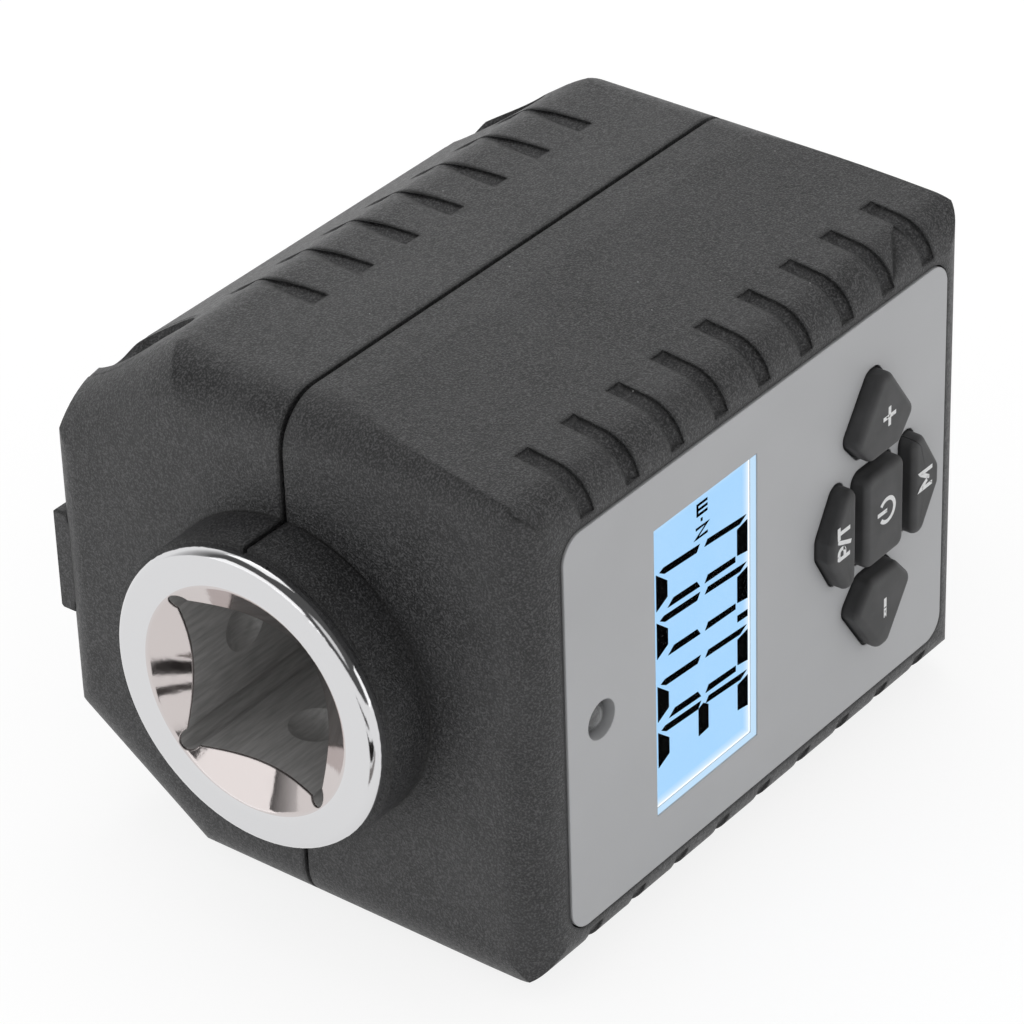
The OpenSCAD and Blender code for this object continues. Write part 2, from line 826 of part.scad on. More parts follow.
// Pocket for the cover, down to its curved seat
module cover_recess() {
    difference() {
        along_y(crown_edge_y - 2 * cover_t, crown_y + over) {
            cover_outline(cover_gap);
            pad_outline(cover_gap);
        }
        along_x(body_x0 - over, body_x1 + over)
            translate([crown_c, 0])
                circle(seat_r, $fn = 4 * $fn);
    }
}

module battery_cover() {
    color([0.24, 0.24, 0.25]) {
        intersection() {
            along_y(crown_edge_y - 2 * cover_t, crown_y)
                union() {
                    cover_outline(0);
                    pad_outline(0);
                }
            along_x(body_x0, body_x1)
                difference() {
                    translate([crown_c, 0])
                        circle(crown_r, $fn = 4 * $fn);
                    translate([crown_c, 0])
                        circle(seat_r + seat_gap, $fn = 4 * $fn);
                }
        }
        thumb_pad();
    }
}

// Raised pad with sloped ends and a few finger grooves across it
module thumb_pad() {
    slope = pad_h / 2;
    foot_y = crown_y - pad_h;
    groove_step = (pad_len - 3 * slope) / (pad_groove_count + 1);
    difference() {
        translate([0, 0, -pad_half_w])
            linear_extrude(2 * pad_half_w)
                polygon([[pad_x0, foot_y], [pad_x0, pad_y1 - slope], [pad_x0 + slope, pad_y1],
                    [pad_x0 + pad_len - 2 * slope, pad_y1], [pad_x0 + pad_len, foot_y]]);
        for (s = [-1, 1])
            translate([0, pad_y1, s * pad_half_w])
                rotate([45, 0, 0])
                    box([pad_x0 - over, -slope, -slope], [pad_x0 + pad_len + over, slope, slope]);
        for (i = [1:pad_groove_count])
            translate([pad_x0 + slope + i * groove_step, pad_y1 + slope / 4, -pad_half_w - over])
                cylinder(h = 2 * (pad_half_w + over), r = slope);
    }
}

// Front pieces

module face_plate() {
    color([0.64, 0.645, 0.66])
        difference() {
            along_y(plate_y0, plate_y1)
                round_rect([plate_x0, -plate_w / 2], [plate_x1, plate_w / 2], plate_r);
            along_y(plate_y0 - over, plate_y1 + over)
                window_outline(0);
            y_rod(lamp_cx, 0, plate_y0 - over, plate_y1 + over, lamp_hole_r);
            for (k = key_outlines)
                along_y(plate_y0 - over, plate_y1 + over)
                    key_shape(k, key_gap);
        }
}

module window_lens() {
    color([0.8, 0.9, 1], 0.4)
        along_y(lens_y0, lens_y1)
            window_outline(-fit_gap / 2);
}

// Two bonded glasses: the front one fills the window, the back one carries the contacts
module display_glass() {
    color([0.62, 0.82, 0.97]) {
        along_y(lens_y1 + lens_gap, front_in_y + fuse)
            window_outline(-fit_gap);
        box([window_mid_x - glass_len / 2, front_in_y, -glass_w / 2],
            [window_mid_x + glass_len / 2, glass_y1, glass_w / 2]);
    }
}

module backlight() {
    x1 = window_mid_x + glass_len / 2;
    color([0.95, 0.97, 1]) {
        box([x1 - light_len, glass_y1, -light_w / 2], [x1, light_y1, light_w / 2]);
        for (x = [x1 - light_len, x1 - strip_w], z = [-light_w / 2, light_w / 2 - strip_w])
            box([x, light_y1 - fuse, z], [x + strip_w, board_y0, z + strip_w]);
    }
}

module contact_strip() {
    x0 = window_mid_x - glass_len / 2;
    color([0.85, 0.45, 0.35])
        box([x0, glass_y1, -light_w / 2], [x0 + strip_w, board_y0, light_w / 2]);
}

// Keys

module key_body(pts) {
    c = centre(pts);
    step = key_bevel / 3;
    along_y(key_top_y + key_bevel, front_in_y + fuse)
        key_shape(pts, 0);
    along_y(key_top_y + step, key_top_y + key_bevel + fuse)
        key_shape(pts, -step);
    along_y(key_top_y, key_top_y + step + fuse)
        key_shape(pts, -key_bevel);
    along_y(front_in_y, front_in_y + key_lip_t)
        key_shape(pts, key_gap + key_lip);
    y_rod(keys_cx + c[0], c[1], front_in_y, stem_y1, key_stem_r);
}

module key_power() {
    color([0.29, 0.29, 0.3])
        key_body(key_outlines[0]);
}

module key_track() {
    color([0.3, 0.3, 0.31])
        key_body(key_outlines[1]);
}

module key_mode() {
    color([0.28, 0.28, 0.29])
        key_body(key_outlines[2]);
}

module key_plus() {
    color([0.31, 0.31, 0.32])
        key_body(key_outlines[3]);
}

module key_minus() {
    color([0.27, 0.27, 0.28])
        key_body(key_outlines[4]);
}

// Circuit board and what sits on it

module main_board() {
    color([0.1, 0.4, 0.22])
        difference() {
            box([board_x0, board_y0, -board_w / 2], [board_x1, board_y1, board_w / 2]);
            for (p = post_places)
                y_rod(p[0], p[1], board_y0 - over, board_y1 + over, board_screw_r + fit_gap);
        }
}

module board_chips() {
    color([0.12, 0.12, 0.13]) {
        for (s = [-1, 1])
            translate([0, 0, s * board_w / 4])
                box([bar_x0 + taper_len, board_y1, -chip_w / 2],
                    [bar_x0 + taper_len + chip_w, board_y1 + chip_h, chip_w / 2]);
    }
}

module key_switches() {
    color([0.75, 0.75, 0.77])
        for (k = key_outlines) {
            c = centre(k) + [keys_cx, 0];
            box([c[0] - switch_w / 2, switch_y0, c[1] - switch_w / 2],
                [c[0] + switch_w / 2, board_y0, c[1] + switch_w / 2]);
            y_rod(c[0], c[1], plunger_y0, switch_y0 + fuse, plunger_r);
        }
}

// Sounder on the back of the board, its hole away from the board
module sounder() {
    color([0.14, 0.14, 0.15])
        difference() {
            y_rod(sounder_cx, sounder_cz, board_y1, board_y1 + sounder_h, sounder_r);
            y_rod(sounder_cx, sounder_cz, board_y1 + sounder_h - contact_t,
                board_y1 + sounder_h + over, sounder_r / 4);
        }
}

module indicator_lamp() {
    tip_y = plate_y0 + lamp_sink;
    foot_y = tip_y + lamp_len;
    color([0.85, 0.87, 0.88], 0.6) {
        translate([lamp_cx, tip_y + lamp_r, 0])
            sphere(lamp_r);
        y_rod(lamp_cx, 0, tip_y + lamp_r, foot_y, lamp_r);
        y_rod(lamp_cx, 0, foot_y - lead_t, foot_y, lamp_r + lamp_flange);
        for (s = [-1, 1])
            translate([lamp_cx, 0, s * lamp_r / 2])
                box([-lead_t / 2, foot_y - lead_t, -lead_t / 2], [lead_t / 2, board_y0, lead_t / 2]);
    }
}

// Spindle

module spindle() {
    color([0.86, 0.85, 0.85])
        difference() {
            union() {
                spindle_turned();
                along_x(bar_x0 - fuse, bar_x1 + fuse)
                    round_rect([-bar_af / 2, -bar_af / 2], [bar_af / 2, bar_af / 2], bar_edge_r);
                male_square();
            }
            female_square();
            mirror_z()
                box([rib_x0 - spindle_gap, -journal_r - over, flat_z],
                    [rib_x0 + rib_t + spindle_gap, journal_r + over, journal_r + over]);
            ball_bore();
        }
}

module spindle_turned() {
    neck_r = bar_af / 2;
    rotate([0, 90, 0])
        rotate_extrude() {
            polygon([[0, 0], [ring_r - ring_edge_r, 0], [ring_r - ring_edge_r, ring_edge_r],
                [ring_r, ring_edge_r], [ring_r, ring_t], [journal_r, ring_t],
                [journal_r, bar_x0 - taper_len], [neck_r, bar_x0], [0, bar_x0]]);
            translate([ring_r - ring_edge_r, ring_edge_r])
                circle(ring_edge_r);
            polygon([[0, bar_x1], [neck_r, bar_x1], [journal_r, bar_x1 + taper_len],
                [journal_r, spindle_x1], [shoulder_r, spindle_x1], [shoulder_r, male_x0],
                [0, male_x0]]);
        }
}

module male_square() {
    tip_r = male_corner_r - male_chamfer;
    intersection() {
        along_x(male_x0 - fuse, male_x1)
            square(male_af, center = true);
        rotate([0, 90, 0])
            rotate_extrude()
                polygon([[0, male_x0 - fuse], [male_corner_r, male_x0 - fuse],
                    [male_corner_r, male_x1 - male_chamfer], [tip_r, male_x1], [0, male_x1]]);
    }
}

// Square with relieved corners, its countersunk mouth and a dimple in each flat
module female_square() {
    relief = socket_af / 2 - socket_relief_r / 2;
    along_x(-over, socket_depth) {
        square(socket_af, center = true);
        for (y = [-relief, relief], z = [-relief, relief])
            translate([y, z])
                circle(socket_relief_r, $fn = outline_fn);
    }
    rotate([0, 90, 0])
        rotate_extrude()
            mouth_profile();
    for (a = [0:90:270])
        rotate([a, 0, 0])
            translate([dimple_x, 0, socket_af / 2 + dimple_depth - dimple_r])
                sphere(dimple_r);
}

// Half section of the mouth: a cone whose outer edge is rounded into the ring's face
module mouth_profile() {
    cone = [socket_af / 2 - mouth_r, mouth_depth];
    lead = mouth_edge_r * tan(atan2(cone[1], -cone[0]) / 2);
    edge_c = [mouth_r + lead, mouth_edge_r];
    difference() {
        polygon([[0, -over], [edge_c[0], -over], edge_c, [mouth_r, 0] + lead * cone / norm(cone),
            [socket_af / 2, mouth_depth], [0, mouth_depth]]);
        translate(edge_c)
            circle(mouth_edge_r);
    }
}

ball_cx = male_x1 - ball_inset;
ball_cz = male_af / 2 + ball_proud - ball_r;
ball_low_z = ball_cz - ball_r - detent_spring_len;
detent_coil_r = ball_r - 3 * detent_wire / 2;
detent_drop = sqrt(pow(ball_r + detent_wire / 2, 2) - pow(detent_coil_r, 2));
detent_top_z = ball_cz - detent_drop + detent_wire / 2;

module ball_bore() {
    translate([ball_cx, 0, ball_low_z])
        cylinder(h = male_af - ball_low_z, r = ball_r + ball_gap);
}

module detent_ball() {
    color([0.8, 0.8, 0.82])
        translate([ball_cx, 0, ball_cz])
            sphere(ball_r);
}

module detent_spring() {
    color([0.6, 0.6, 0.62])
        translate([ball_cx, 0, ball_low_z])
            coil(detent_coil_r, detent_coil_r, detent_wire,
                detent_top_z - ball_gap - ball_low_z, detent_turns);
}

// Coil of round wire that stands on z = 0 and reaches z = h, its radius going from r0 to r1
module coil(r0, r1, wire, h, turns) {
    sides = 6;
    rings = 12 * turns;
    pts = [for (i = [0:rings], j = [0:sides - 1])
        let (t = i / rings, a = 360 * turns * t, r = r0 + (r1 - r0) * t,
            q = 360 * j / sides, z = wire / 2 + (h - wire) * t)
        [(r + wire / 2 * cos(q)) * cos(a), (r + wire / 2 * cos(q)) * sin(a), z + wire / 2 * sin(q)]];
    walls = [for (i = [0:rings - 1], j = [0:sides - 1], half = [0, 1])
        let (k = (j + 1) % sides, a = i * sides + j, b = i * sides + k)
        half == 0 ? [a, b, b + sides] : [a, b + sides, a + sides]];
    caps = [for (j = [1:sides - 2], end = [0, 1])
        let (o = end * rings * sides)
        end == 0 ? [o, o + j + 1, o + j] : [o, o + j, o + j + 1]];
    polyhedron(pts, concat(walls, caps));
}

module strain_gauges() {
    mid = (bar_x0 + bar_x1) / 2;
    color([0.85, 0.6, 0.3])
        for (a = [0:90:270])
            rotate([a, 0, 0])
                box([mid - gauge_len / 2, -gauge_w / 2, bar_af / 2],
                    [mid + gauge_len / 2, gauge_w / 2, bar_af / 2 + gauge_t]);
}

// Flexible lead from the front gauge to the back of the board
module gauge_flex() {
    mid = (bar_x0 + bar_x1) / 2;
    low_y = -bar_af / 2 - gauge_t;
    foot = gauge_len / 3;
    color([0.8, 0.5, 0.2])
        translate([mid, 0, -flex_w / 2])
            linear_extrude(flex_w)
                polygon([[-foot, low_y], [0, low_y], [0, board_y1 + flex_t], [foot, board_y1 + flex_t],
                    [foot, board_y1], [-flex_t, board_y1], [-flex_t, low_y - flex_t],
                    [-foot, low_y - flex_t]]);
}

// Batteries

module battery_cells() {
    color([0.75, 0.62, 0.3])
        for (s = [-1, 1])
            translate([0, cell_y, s * cell_z]) {
                flip = s < 0;
                x0 = flip ? cell_x0 : bay_x1 - contact_t - contact_spring_len - cell_len;
                x_rod(x0, x0 + cell_len, cell_r);
                nub_x = flip ? x0 + cell_len - fuse : x0 - nub_len;
                x_rod(nub_x, nub_x + nub_len + fuse, nub_r);
            }
}

// Spring on a contact plate, for a cell's flat end
module contact_spring() {
    wire = contact_t;
    rotate([0, 90, 0])
        coil(cell_r * 2 / 3, cell_r / 3, wire, contact_spring_len + wire / 2, contact_turns);
}

module contact_plate(z) {
    box([0, plate_low_y, z - plate_half], [contact_t, cell_y + plate_half, z + plate_half]);
}

module battery_terminals() {
    color([0.8, 0.78, 0.7]) {
        translate([bay_x0, 0, 0]) {
            contact_plate(-cell_z);
            contact_plate(cell_z);
            translate([contact_t - contact_t / 2, cell_y, -cell_z])
                contact_spring();
            translate([0, cell_y, cell_z])
                x_rod(contact_t - fuse, positive_gap(), nub_r);
        }
    }
}

// Space between a contact plate's foot and a cell's nub
function positive_gap() = bay_x1 - bay_x0 - contact_t - contact_spring_len - cell_len - nub_len;

module battery_link() {
    color([0.8, 0.78, 0.7])
        translate([bay_x1, 0, 0])
            mirror([1, 0, 0]) {
                hull() {
                    contact_plate(-cell_z);
                    contact_plate(cell_z);
                }
                translate([contact_t - contact_t / 2, cell_y, cell_z])
                    contact_spring();
                translate([0, cell_y, -cell_z])
                    x_rod(contact_t - fuse, positive_gap(), nub_r);
            }
}

// Two leads from the contact plates, past the spindle, to the back of the board
module battery_leads() {
    color([0.7, 0.15, 0.12])
        mirror_z()
            y_rod(wire_x, wire_z, board_y1, plate_low_y, wire_d / 2);
}

// Fasteners

module screw(r, head_r, head_h, reach) {
    slot_w = head_r / 3;
    difference() {
        cylinder(h = head_h, r = head_r);
        for (a = [0, 90])
            rotate([0, 0, a])
                translate([0, 0, head_h])
                    cube([head_r * 4 / 3, slot_w, head_h], center = true);
    }
    translate([0, 0, -reach])
        cylinder(h = reach + fuse, r = r);
}

module housing_screws() {
    color([0.5, 0.5, 0.52])
        for (p = screw_places)
            translate([p[0], screw_seat_y, p[1]])
                rotate([-90, 0, 0])
                    screw(screw_r, screw_head_r, screw_head_h, screw_seat_y + screw_reach);
}

module board_screws() {
    color([0.55, 0.55, 0.57])
        for (p = post_places)
            translate([p[0], board_y1, p[1]])
                rotate([-90, 0, 0])
                    screw(board_screw_r, board_screw_head_r, board_screw_head_h, board_t + board_space / 2);
}

front_shell();
rear_shell();
face_plate();
window_lens();
display_glass();
backlight();
contact_strip();
main_board();
board_chips();
key_switches();
sounder();
indicator_lamp();
key_power();
key_track();
key_mode();
key_plus();
key_minus();
spindle();
detent_ball();
detent_spring();
strain_gauges();
gauge_flex();
battery_cells();
battery_terminals();
battery_link();
battery_leads();
battery_cover();
housing_screws();
board_screws();
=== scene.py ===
import math
import bpy
import numpy as np
from mathutils import Matrix, Vector


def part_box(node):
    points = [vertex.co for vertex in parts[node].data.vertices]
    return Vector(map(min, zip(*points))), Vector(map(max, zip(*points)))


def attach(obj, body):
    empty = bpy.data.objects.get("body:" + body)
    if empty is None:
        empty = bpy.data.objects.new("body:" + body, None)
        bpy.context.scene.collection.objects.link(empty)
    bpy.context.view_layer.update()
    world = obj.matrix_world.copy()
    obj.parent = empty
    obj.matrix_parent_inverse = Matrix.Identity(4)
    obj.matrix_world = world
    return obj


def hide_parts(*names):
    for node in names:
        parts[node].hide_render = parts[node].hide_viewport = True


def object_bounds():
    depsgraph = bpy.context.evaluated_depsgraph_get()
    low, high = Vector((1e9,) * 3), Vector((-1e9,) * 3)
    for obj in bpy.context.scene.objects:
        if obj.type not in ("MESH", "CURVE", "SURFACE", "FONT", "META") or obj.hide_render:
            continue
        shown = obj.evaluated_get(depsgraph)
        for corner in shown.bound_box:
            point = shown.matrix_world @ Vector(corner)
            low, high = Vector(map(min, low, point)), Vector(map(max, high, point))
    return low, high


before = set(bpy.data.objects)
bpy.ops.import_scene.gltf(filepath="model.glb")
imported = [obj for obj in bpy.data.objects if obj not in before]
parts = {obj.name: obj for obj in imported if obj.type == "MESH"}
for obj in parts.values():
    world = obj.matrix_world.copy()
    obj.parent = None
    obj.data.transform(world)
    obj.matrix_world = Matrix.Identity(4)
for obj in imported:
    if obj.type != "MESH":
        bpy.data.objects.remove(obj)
cad_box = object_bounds()

# Studio
# The adapter lies on its side on a white floor in a white light tent, with lamps overhead, past the
# display and past the ring. The tent is dark round the photograph's camera, but for one softbox, and
# three cards on the floor, which show only in reflections, give the cone its dark bands.
MM = 0.001
CAMERA_PLACE = Vector((-0.20920, -0.19251, 0.19783))
CAMERA_AIM = Vector((0.03236, 0.00048, -0.00086))
CAMERA_ROLL = math.radians(-1.928)
CAMERA_LENS = 168.357
CAMERA_SIDE = tuple((CAMERA_PLACE - CAMERA_AIM).normalized())
WHITE = (1, 1, 1, 1)
TENT_LEVEL = 0.62
DARK_SIDE_LEVEL, DARK_SIDE_SPAN = 0.10, (-0.30, 0.20)
SOFTBOX_LEVEL, SOFTBOX_SPAN = 0.85, (0.95, 0.97)
LAMPS = {
    "lamp_overhead": ((0.15, 0.20, 0.60), 0.45, 1.2),
    "lamp_past_display": ((0.25, -0.60, 0.02), 0.50, 1.3),
    "lamp_past_ring": ((-0.60, 0.25, 0.05), 0.50, 1.2),
}
FLOOR_WIDTH = 6.0
FLOOR_COLOUR = (0.8, 0.8, 0.8, 1)
FLOOR_SHADOW_SHARE = 0.22
FLOOR_LIFT = 0.05
FLOOR_GAP = 0.1 * MM
CARDS = {
    "card_dark": ((-40, -29), 0.02),
    "card_grey": ((-27, -22), 0.25),
    "card_brown": ((-66, -52), 0.06),
}
CARD_Y = (-40, -1)
CARD_GAP = 0.05 * MM
CARD_TINT = (1, 0.93, 0.9)


def aimed(thing, place, aim, roll=0.0):
    """Puts a camera or lamp at place, looking at aim, turned by roll about that line."""
    turn = (Vector(aim) - Vector(place)).to_track_quat("-Z", "Y").to_matrix().to_4x4()
    thing.matrix_world = Matrix.Translation(place) @ turn @ Matrix.Rotation(roll, 4, "Z")
    bpy.context.scene.collection.objects.link(thing)
    return thing


def add(tree, kind, settings=None, inputs=None):
    """A shader node of that kind. An input is given as a number or colour, or as a socket to join."""
    node = tree.nodes.new("ShaderNode" + kind)
    for key, value in (settings or {}).items():
        setattr(node, key, value)
    for key, value in (inputs or {}).items():
        if isinstance(value, bpy.types.NodeSocket):
            tree.links.new(value, node.inputs[key])
        else:
            node.inputs[key].default_value = value
    return node


def calc(tree, operation, *values):
    """The socket of a Math node."""
    return add(tree, "Math", {"operation": operation}, dict(enumerate(values))).outputs[0]


def ramp(tree, value, low, high, to_low=0.0, to_high=1.0):
    """Carries value from the range low to high over to another range, and stays within it."""
    return add(tree, "MapRange", {}, {0: value, 1: low, 2: high, 3: to_low, 4: to_high}).outputs[0]


def seen_directly(tree):
    """1 for what the camera sees, also in a mirror or through glass, and 0 for light on the object."""
    path = add(tree, "LightPath").outputs
    return calc(tree, "MAXIMUM", path["Is Camera Ray"],
                calc(tree, "MAXIMUM", path["Is Glossy Ray"], path["Is Transmission Ray"]))


def either(tree, share, first, second):
    """A shader that goes from the first node's to the second's as share goes from 0 to 1."""
    return add(tree, "MixShader", {}, {0: share, 1: first.outputs[0], 2: second.outputs[0]})


def sheet(name, paint_name, x_span, y_span, z):
    """A level sheet whose material is still empty. Returns it and the material's node tree."""
    mesh = bpy.data.meshes.new(name)
    (x0, x1), (y0, y1) = x_span, y_span
    mesh.from_pydata([(x0, y0, z), (x1, y0, z), (x1, y1, z), (x0, y1, z)], [], [(0, 1, 2, 3)])
    paint = bpy.data.materials.new(paint_name)
    paint.use_nodes = True
    paint.node_tree.nodes.clear()
    mesh.materials.append(paint)
    thing = bpy.data.objects.new(name, mesh)
    scene.collection.objects.link(thing)
    return thing, paint.node_tree


scene = bpy.context.scene
scene.view_settings.view_transform = "Standard"
lens_data = bpy.data.cameras.new("camera")
lens_data.lens = CAMERA_LENS
lens_data.sensor_width = 36
scene.camera = aimed(bpy.data.objects.new("camera", lens_data), CAMERA_PLACE, CAMERA_AIM, CAMERA_ROLL)

tent = bpy.data.worlds.new("light_tent")
tent.use_nodes = True
scene.world = tent
sky = tent.node_tree
sky.nodes.clear()
sky_light = add(sky, "Background", {}, {"Color": WHITE, "Strength": TENT_LEVEL})
sky_seen = add(sky, "Background", {}, {"Color": WHITE, "Strength": 1.0})
facing = add(sky, "VectorMath", {"operation": "DOT_PRODUCT"},
             {0: add(sky, "TexCoord").outputs["Generated"], 1: CAMERA_SIDE}).outputs["Value"]
dark_side = ramp(sky, facing, *DARK_SIDE_SPAN, 1.0, DARK_SIDE_LEVEL)
softbox = ramp(sky, facing, *SOFTBOX_SPAN, 0.0, SOFTBOX_LEVEL)
shine_level = calc(sky, "MAXIMUM", dark_side, softbox)
sky_shine = add(sky, "Background", {}, {"Color": WHITE, "Strength": shine_level})
in_mirror = add(sky, "LightPath").outputs["Is Glossy Ray"]
sky_mix = either(sky, seen_directly(sky), sky_light, either(sky, in_mirror, sky_seen, sky_shine))
add(sky, "OutputWorld", {}, {"Surface": sky_mix.outputs[0]})

for lamp_name, (place, width, level) in LAMPS.items():
    lamp_data = bpy.data.lights.new(lamp_name, "AREA")
    lamp_data.size = width
    lamp_data.energy = level * math.pi * width * width
    aimed(bpy.data.objects.new(lamp_name, lamp_data), place, CAMERA_AIM)

half = FLOOR_WIDTH / 2
floor_z = cad_box[0].z - FLOOR_GAP
floor, tree = sheet("floor", "floor_white", (-half, half), (-half, half), floor_z)
plain = add(tree, "BsdfDiffuse", {}, {"Color": FLOOR_COLOUR})
shaded = add(tree, "BsdfDiffuse", {}, {"Color": (*[FLOOR_SHADOW_SHARE] * 3, 1)})
glow = add(tree, "Emission", {}, {"Color": WHITE, "Strength": 1 - FLOOR_SHADOW_SHARE + FLOOR_LIFT})
both = add(tree, "AddShader", {}, {0: shaded.outputs[0], 1: glow.outputs[0]})
add(tree, "OutputMaterial", {}, {"Surface": either(tree, seen_directly(tree), plain, both).outputs[0]})

for card_name, (card_x, level) in CARDS.items():
    card, tree = sheet(card_name, card_name, [x * MM for x in card_x], [y * MM for y in CARD_Y],
                       floor_z + CARD_GAP)
    tone = add(tree, "Emission", {}, {"Color": (*(level * c for c in CARD_TINT), 1), "Strength": 1.0})
    add(tree, "OutputMaterial", {}, {"Surface": tone.outputs[0]})
    card.visible_camera = card.visible_diffuse = card.visible_shadow = card.visible_transmission = False

# Spindle
# One bar of tool steel from end to end, turned and then broached for the square. It is polished and
# chrome plated. The plating doesn't reach into the broached square, which stays dark and rough.
CHROME = (0.68, 0.68, 0.69)
CONE_REFLECTION_SHADE = (0.60, 0.55, 0.54)
SQUARE_COLOUR = (0.42, 0.415, 0.41)
SQUARE_SHADES = (0.55, 1.6)
SQUARE_ROUGHNESS, SQUARE_DULLNESS = 0.35, 0.7
SQUARE_END = 18 * MM
MOUTH_RADIUS, MOUTH_REACH = 9.5 * MM, 9.45 * MM
MOUTH_SLOPE = 0.59
CONE_FADE = (10.2 * MM, 9.2 * MM)
CONE_GAP = 0.2 * MM


def finish_of(name, colour, roughness, more=None):
    """A material with one Principled shader. Returns it, its tree, the shader and the place on it."""
    material = bpy.data.materials.new(name)
    material.use_nodes = True
    tree = material.node_tree
    shader = tree.nodes["Principled BSDF"]
    shader.inputs["Base Color"].default_value = (*colour, 1)
    shader.inputs["Roughness"].default_value = roughness
    for socket, value in (more or {}).items():
        shader.inputs[socket].default_value = value
    return material, tree, shader, add(tree, "TexCoord").outputs["Object"]


def dress(material, *names):
    """Gives CAD nodes a material."""
    for name in names:
        parts[name].material_slots[0].material = material


def scaled(colour, factor):
    """A colour, lighter or darker by that factor."""
    return tuple(factor * c for c in colour)


def hypot(tree, a, b):
    """The socket that gives the square root of a ** 2 + b ** 2."""
    return calc(tree, "SQRT", calc(tree, "ADD", calc(tree, "MULTIPLY", a, a), calc(tree, "MULTIPLY", b, b)))


def mixed(tree, share, first, second):
    """The colour that goes from first to second as share goes from 0 to 1."""
    node = add(tree, "Mix", {"data_type": "RGBA"}, {0: share})
    for index, colour in ((6, first), (7, second)):
        if isinstance(colour, bpy.types.NodeSocket):
            tree.links.new(colour, node.inputs[index])
        else:
            node.inputs[index].default_value = (*colour, 1)
    return node.outputs[2]


def noise(tree, point, size, detail=2.0, roughness=0.5):
    """Cloudy noise whose spots are about size across, from 0 to 1."""
    return add(tree, "TexNoise", {}, {"Vector": point, "Scale": 1 / size, "Detail": detail,
                                      "Roughness": roughness}).outputs[0]


def roughen(tree, shader, height, depth, edge=0.15 * MM):
    """Bump of that depth on a surface whose edges are broken by a small rounding."""
    rounded = add(tree, "Bevel", {"samples": 4}, {"Radius": edge})
    bump = add(tree, "Bump", {}, {"Strength": 1.0, "Distance": depth, "Height": height,
                                  "Normal": rounded.outputs[0]})
    tree.links.new(bump.outputs[0], shader.inputs["Normal"])


chrome, tree, shader, point = finish_of("chrome_plate", CHROME, 0.07, {"Metallic": 1.0})
x, y, z = add(tree, "SeparateXYZ", {}, {0: point}).outputs
radius = hypot(tree, y, z)
cone_x = calc(tree, "MULTIPLY", calc(tree, "SUBTRACT", MOUTH_RADIUS, radius), MOUTH_SLOPE)
past_cone = calc(tree, "GREATER_THAN", calc(tree, "SUBTRACT", x, cone_x), CONE_GAP)
within = calc(tree, "MULTIPLY", calc(tree, "LESS_THAN", radius, MOUTH_REACH),
              calc(tree, "LESS_THAN", x, SQUARE_END))
in_square = calc(tree, "MULTIPLY", past_cone, within)
# Inside the mouth, the cone's chrome is painted darker and pinker. This is a painted reflection, darkened
# as painted shade.
cone_shade_share = calc(tree, "MULTIPLY", ramp(tree, radius, *CONE_FADE), within)
mottle = noise(tree, point, 1.2 * MM, 4.0)
scuffs = noise(tree, add(tree, "Mapping", {}, {"Vector": point, "Scale": (0.12, 1, 1)}).outputs[0],
               0.3 * MM, 3.0)
plated = mixed(tree, cone_shade_share, CHROME, CONE_REFLECTION_SHADE)
dark = mixed(tree, scuffs, *(scaled(SQUARE_COLOUR, shade) for shade in SQUARE_SHADES))
tree.links.new(mixed(tree, in_square, plated, dark), shader.inputs["Base Color"])
plated_roughness = ramp(tree, mottle, 0.3, 0.7, 0.05, 0.10)
rougher = calc(tree, "MULTIPLY", in_square, SQUARE_ROUGHNESS)
tree.links.new(calc(tree, "ADD", rougher, plated_roughness), shader.inputs["Roughness"])
duller = calc(tree, "MULTIPLY", in_square, SQUARE_DULLNESS)
tree.links.new(calc(tree, "SUBTRACT", 1.0, duller), shader.inputs["Metallic"])
height = calc(tree, "ADD", calc(tree, "MULTIPLY", mottle, 0.3), calc(tree, "MULTIPLY", scuffs, in_square))
roughen(tree, shader, height, 0.02 * MM, edge=0.12 * MM)
dress(chrome, "spindle")

# Detent ball and its spring
# A hardened steel ball in a blind bore of the male square, pushed out by a coil spring of bright wire.
steel, tree, shader, point = finish_of("polished_steel", (0.62, 0.62, 0.64), 0.14, {"Metallic": 1.0})
tree.links.new(ramp(tree, noise(tree, point, 0.6 * MM), 0.3, 0.7, 0.10, 0.22), shader.inputs["Roughness"])
dress(steel, "detent_ball", "detent_spring")

# Strain gauges and their lead
# Four foil gauges glued to the flats of the bar, and a polyimide strip with copper tracks to the board.
FILM_COLOUR, TRACK_COLOUR = (0.60, 0.33, 0.08), (0.72, 0.52, 0.30)
TRACKS_SCALE = 320.0

film, tree, shader, point = finish_of("polyimide_film", FILM_COLOUR, 0.3)
tracks = add(tree, "TexWave", {"bands_direction": "Z"},
             {"Vector": point, "Scale": TRACKS_SCALE}).outputs["Fac"]
tree.links.new(mixed(tree, ramp(tree, tracks, 0.55, 0.65), FILM_COLOUR, TRACK_COLOUR),
               shader.inputs["Base Color"])
dress(film, "strain_gauges", "gauge_flex")

# Circuit board and what is soldered to it
# Green glass fibre board on three posts. The chips and the sounder are moulded black, and the five
# key switches have plated covers.
MASK_COLOUR, MASKED_COPPER = (0.012, 0.11, 0.04), (0.03, 0.2, 0.08)
BOARD_SCALE = 400.0

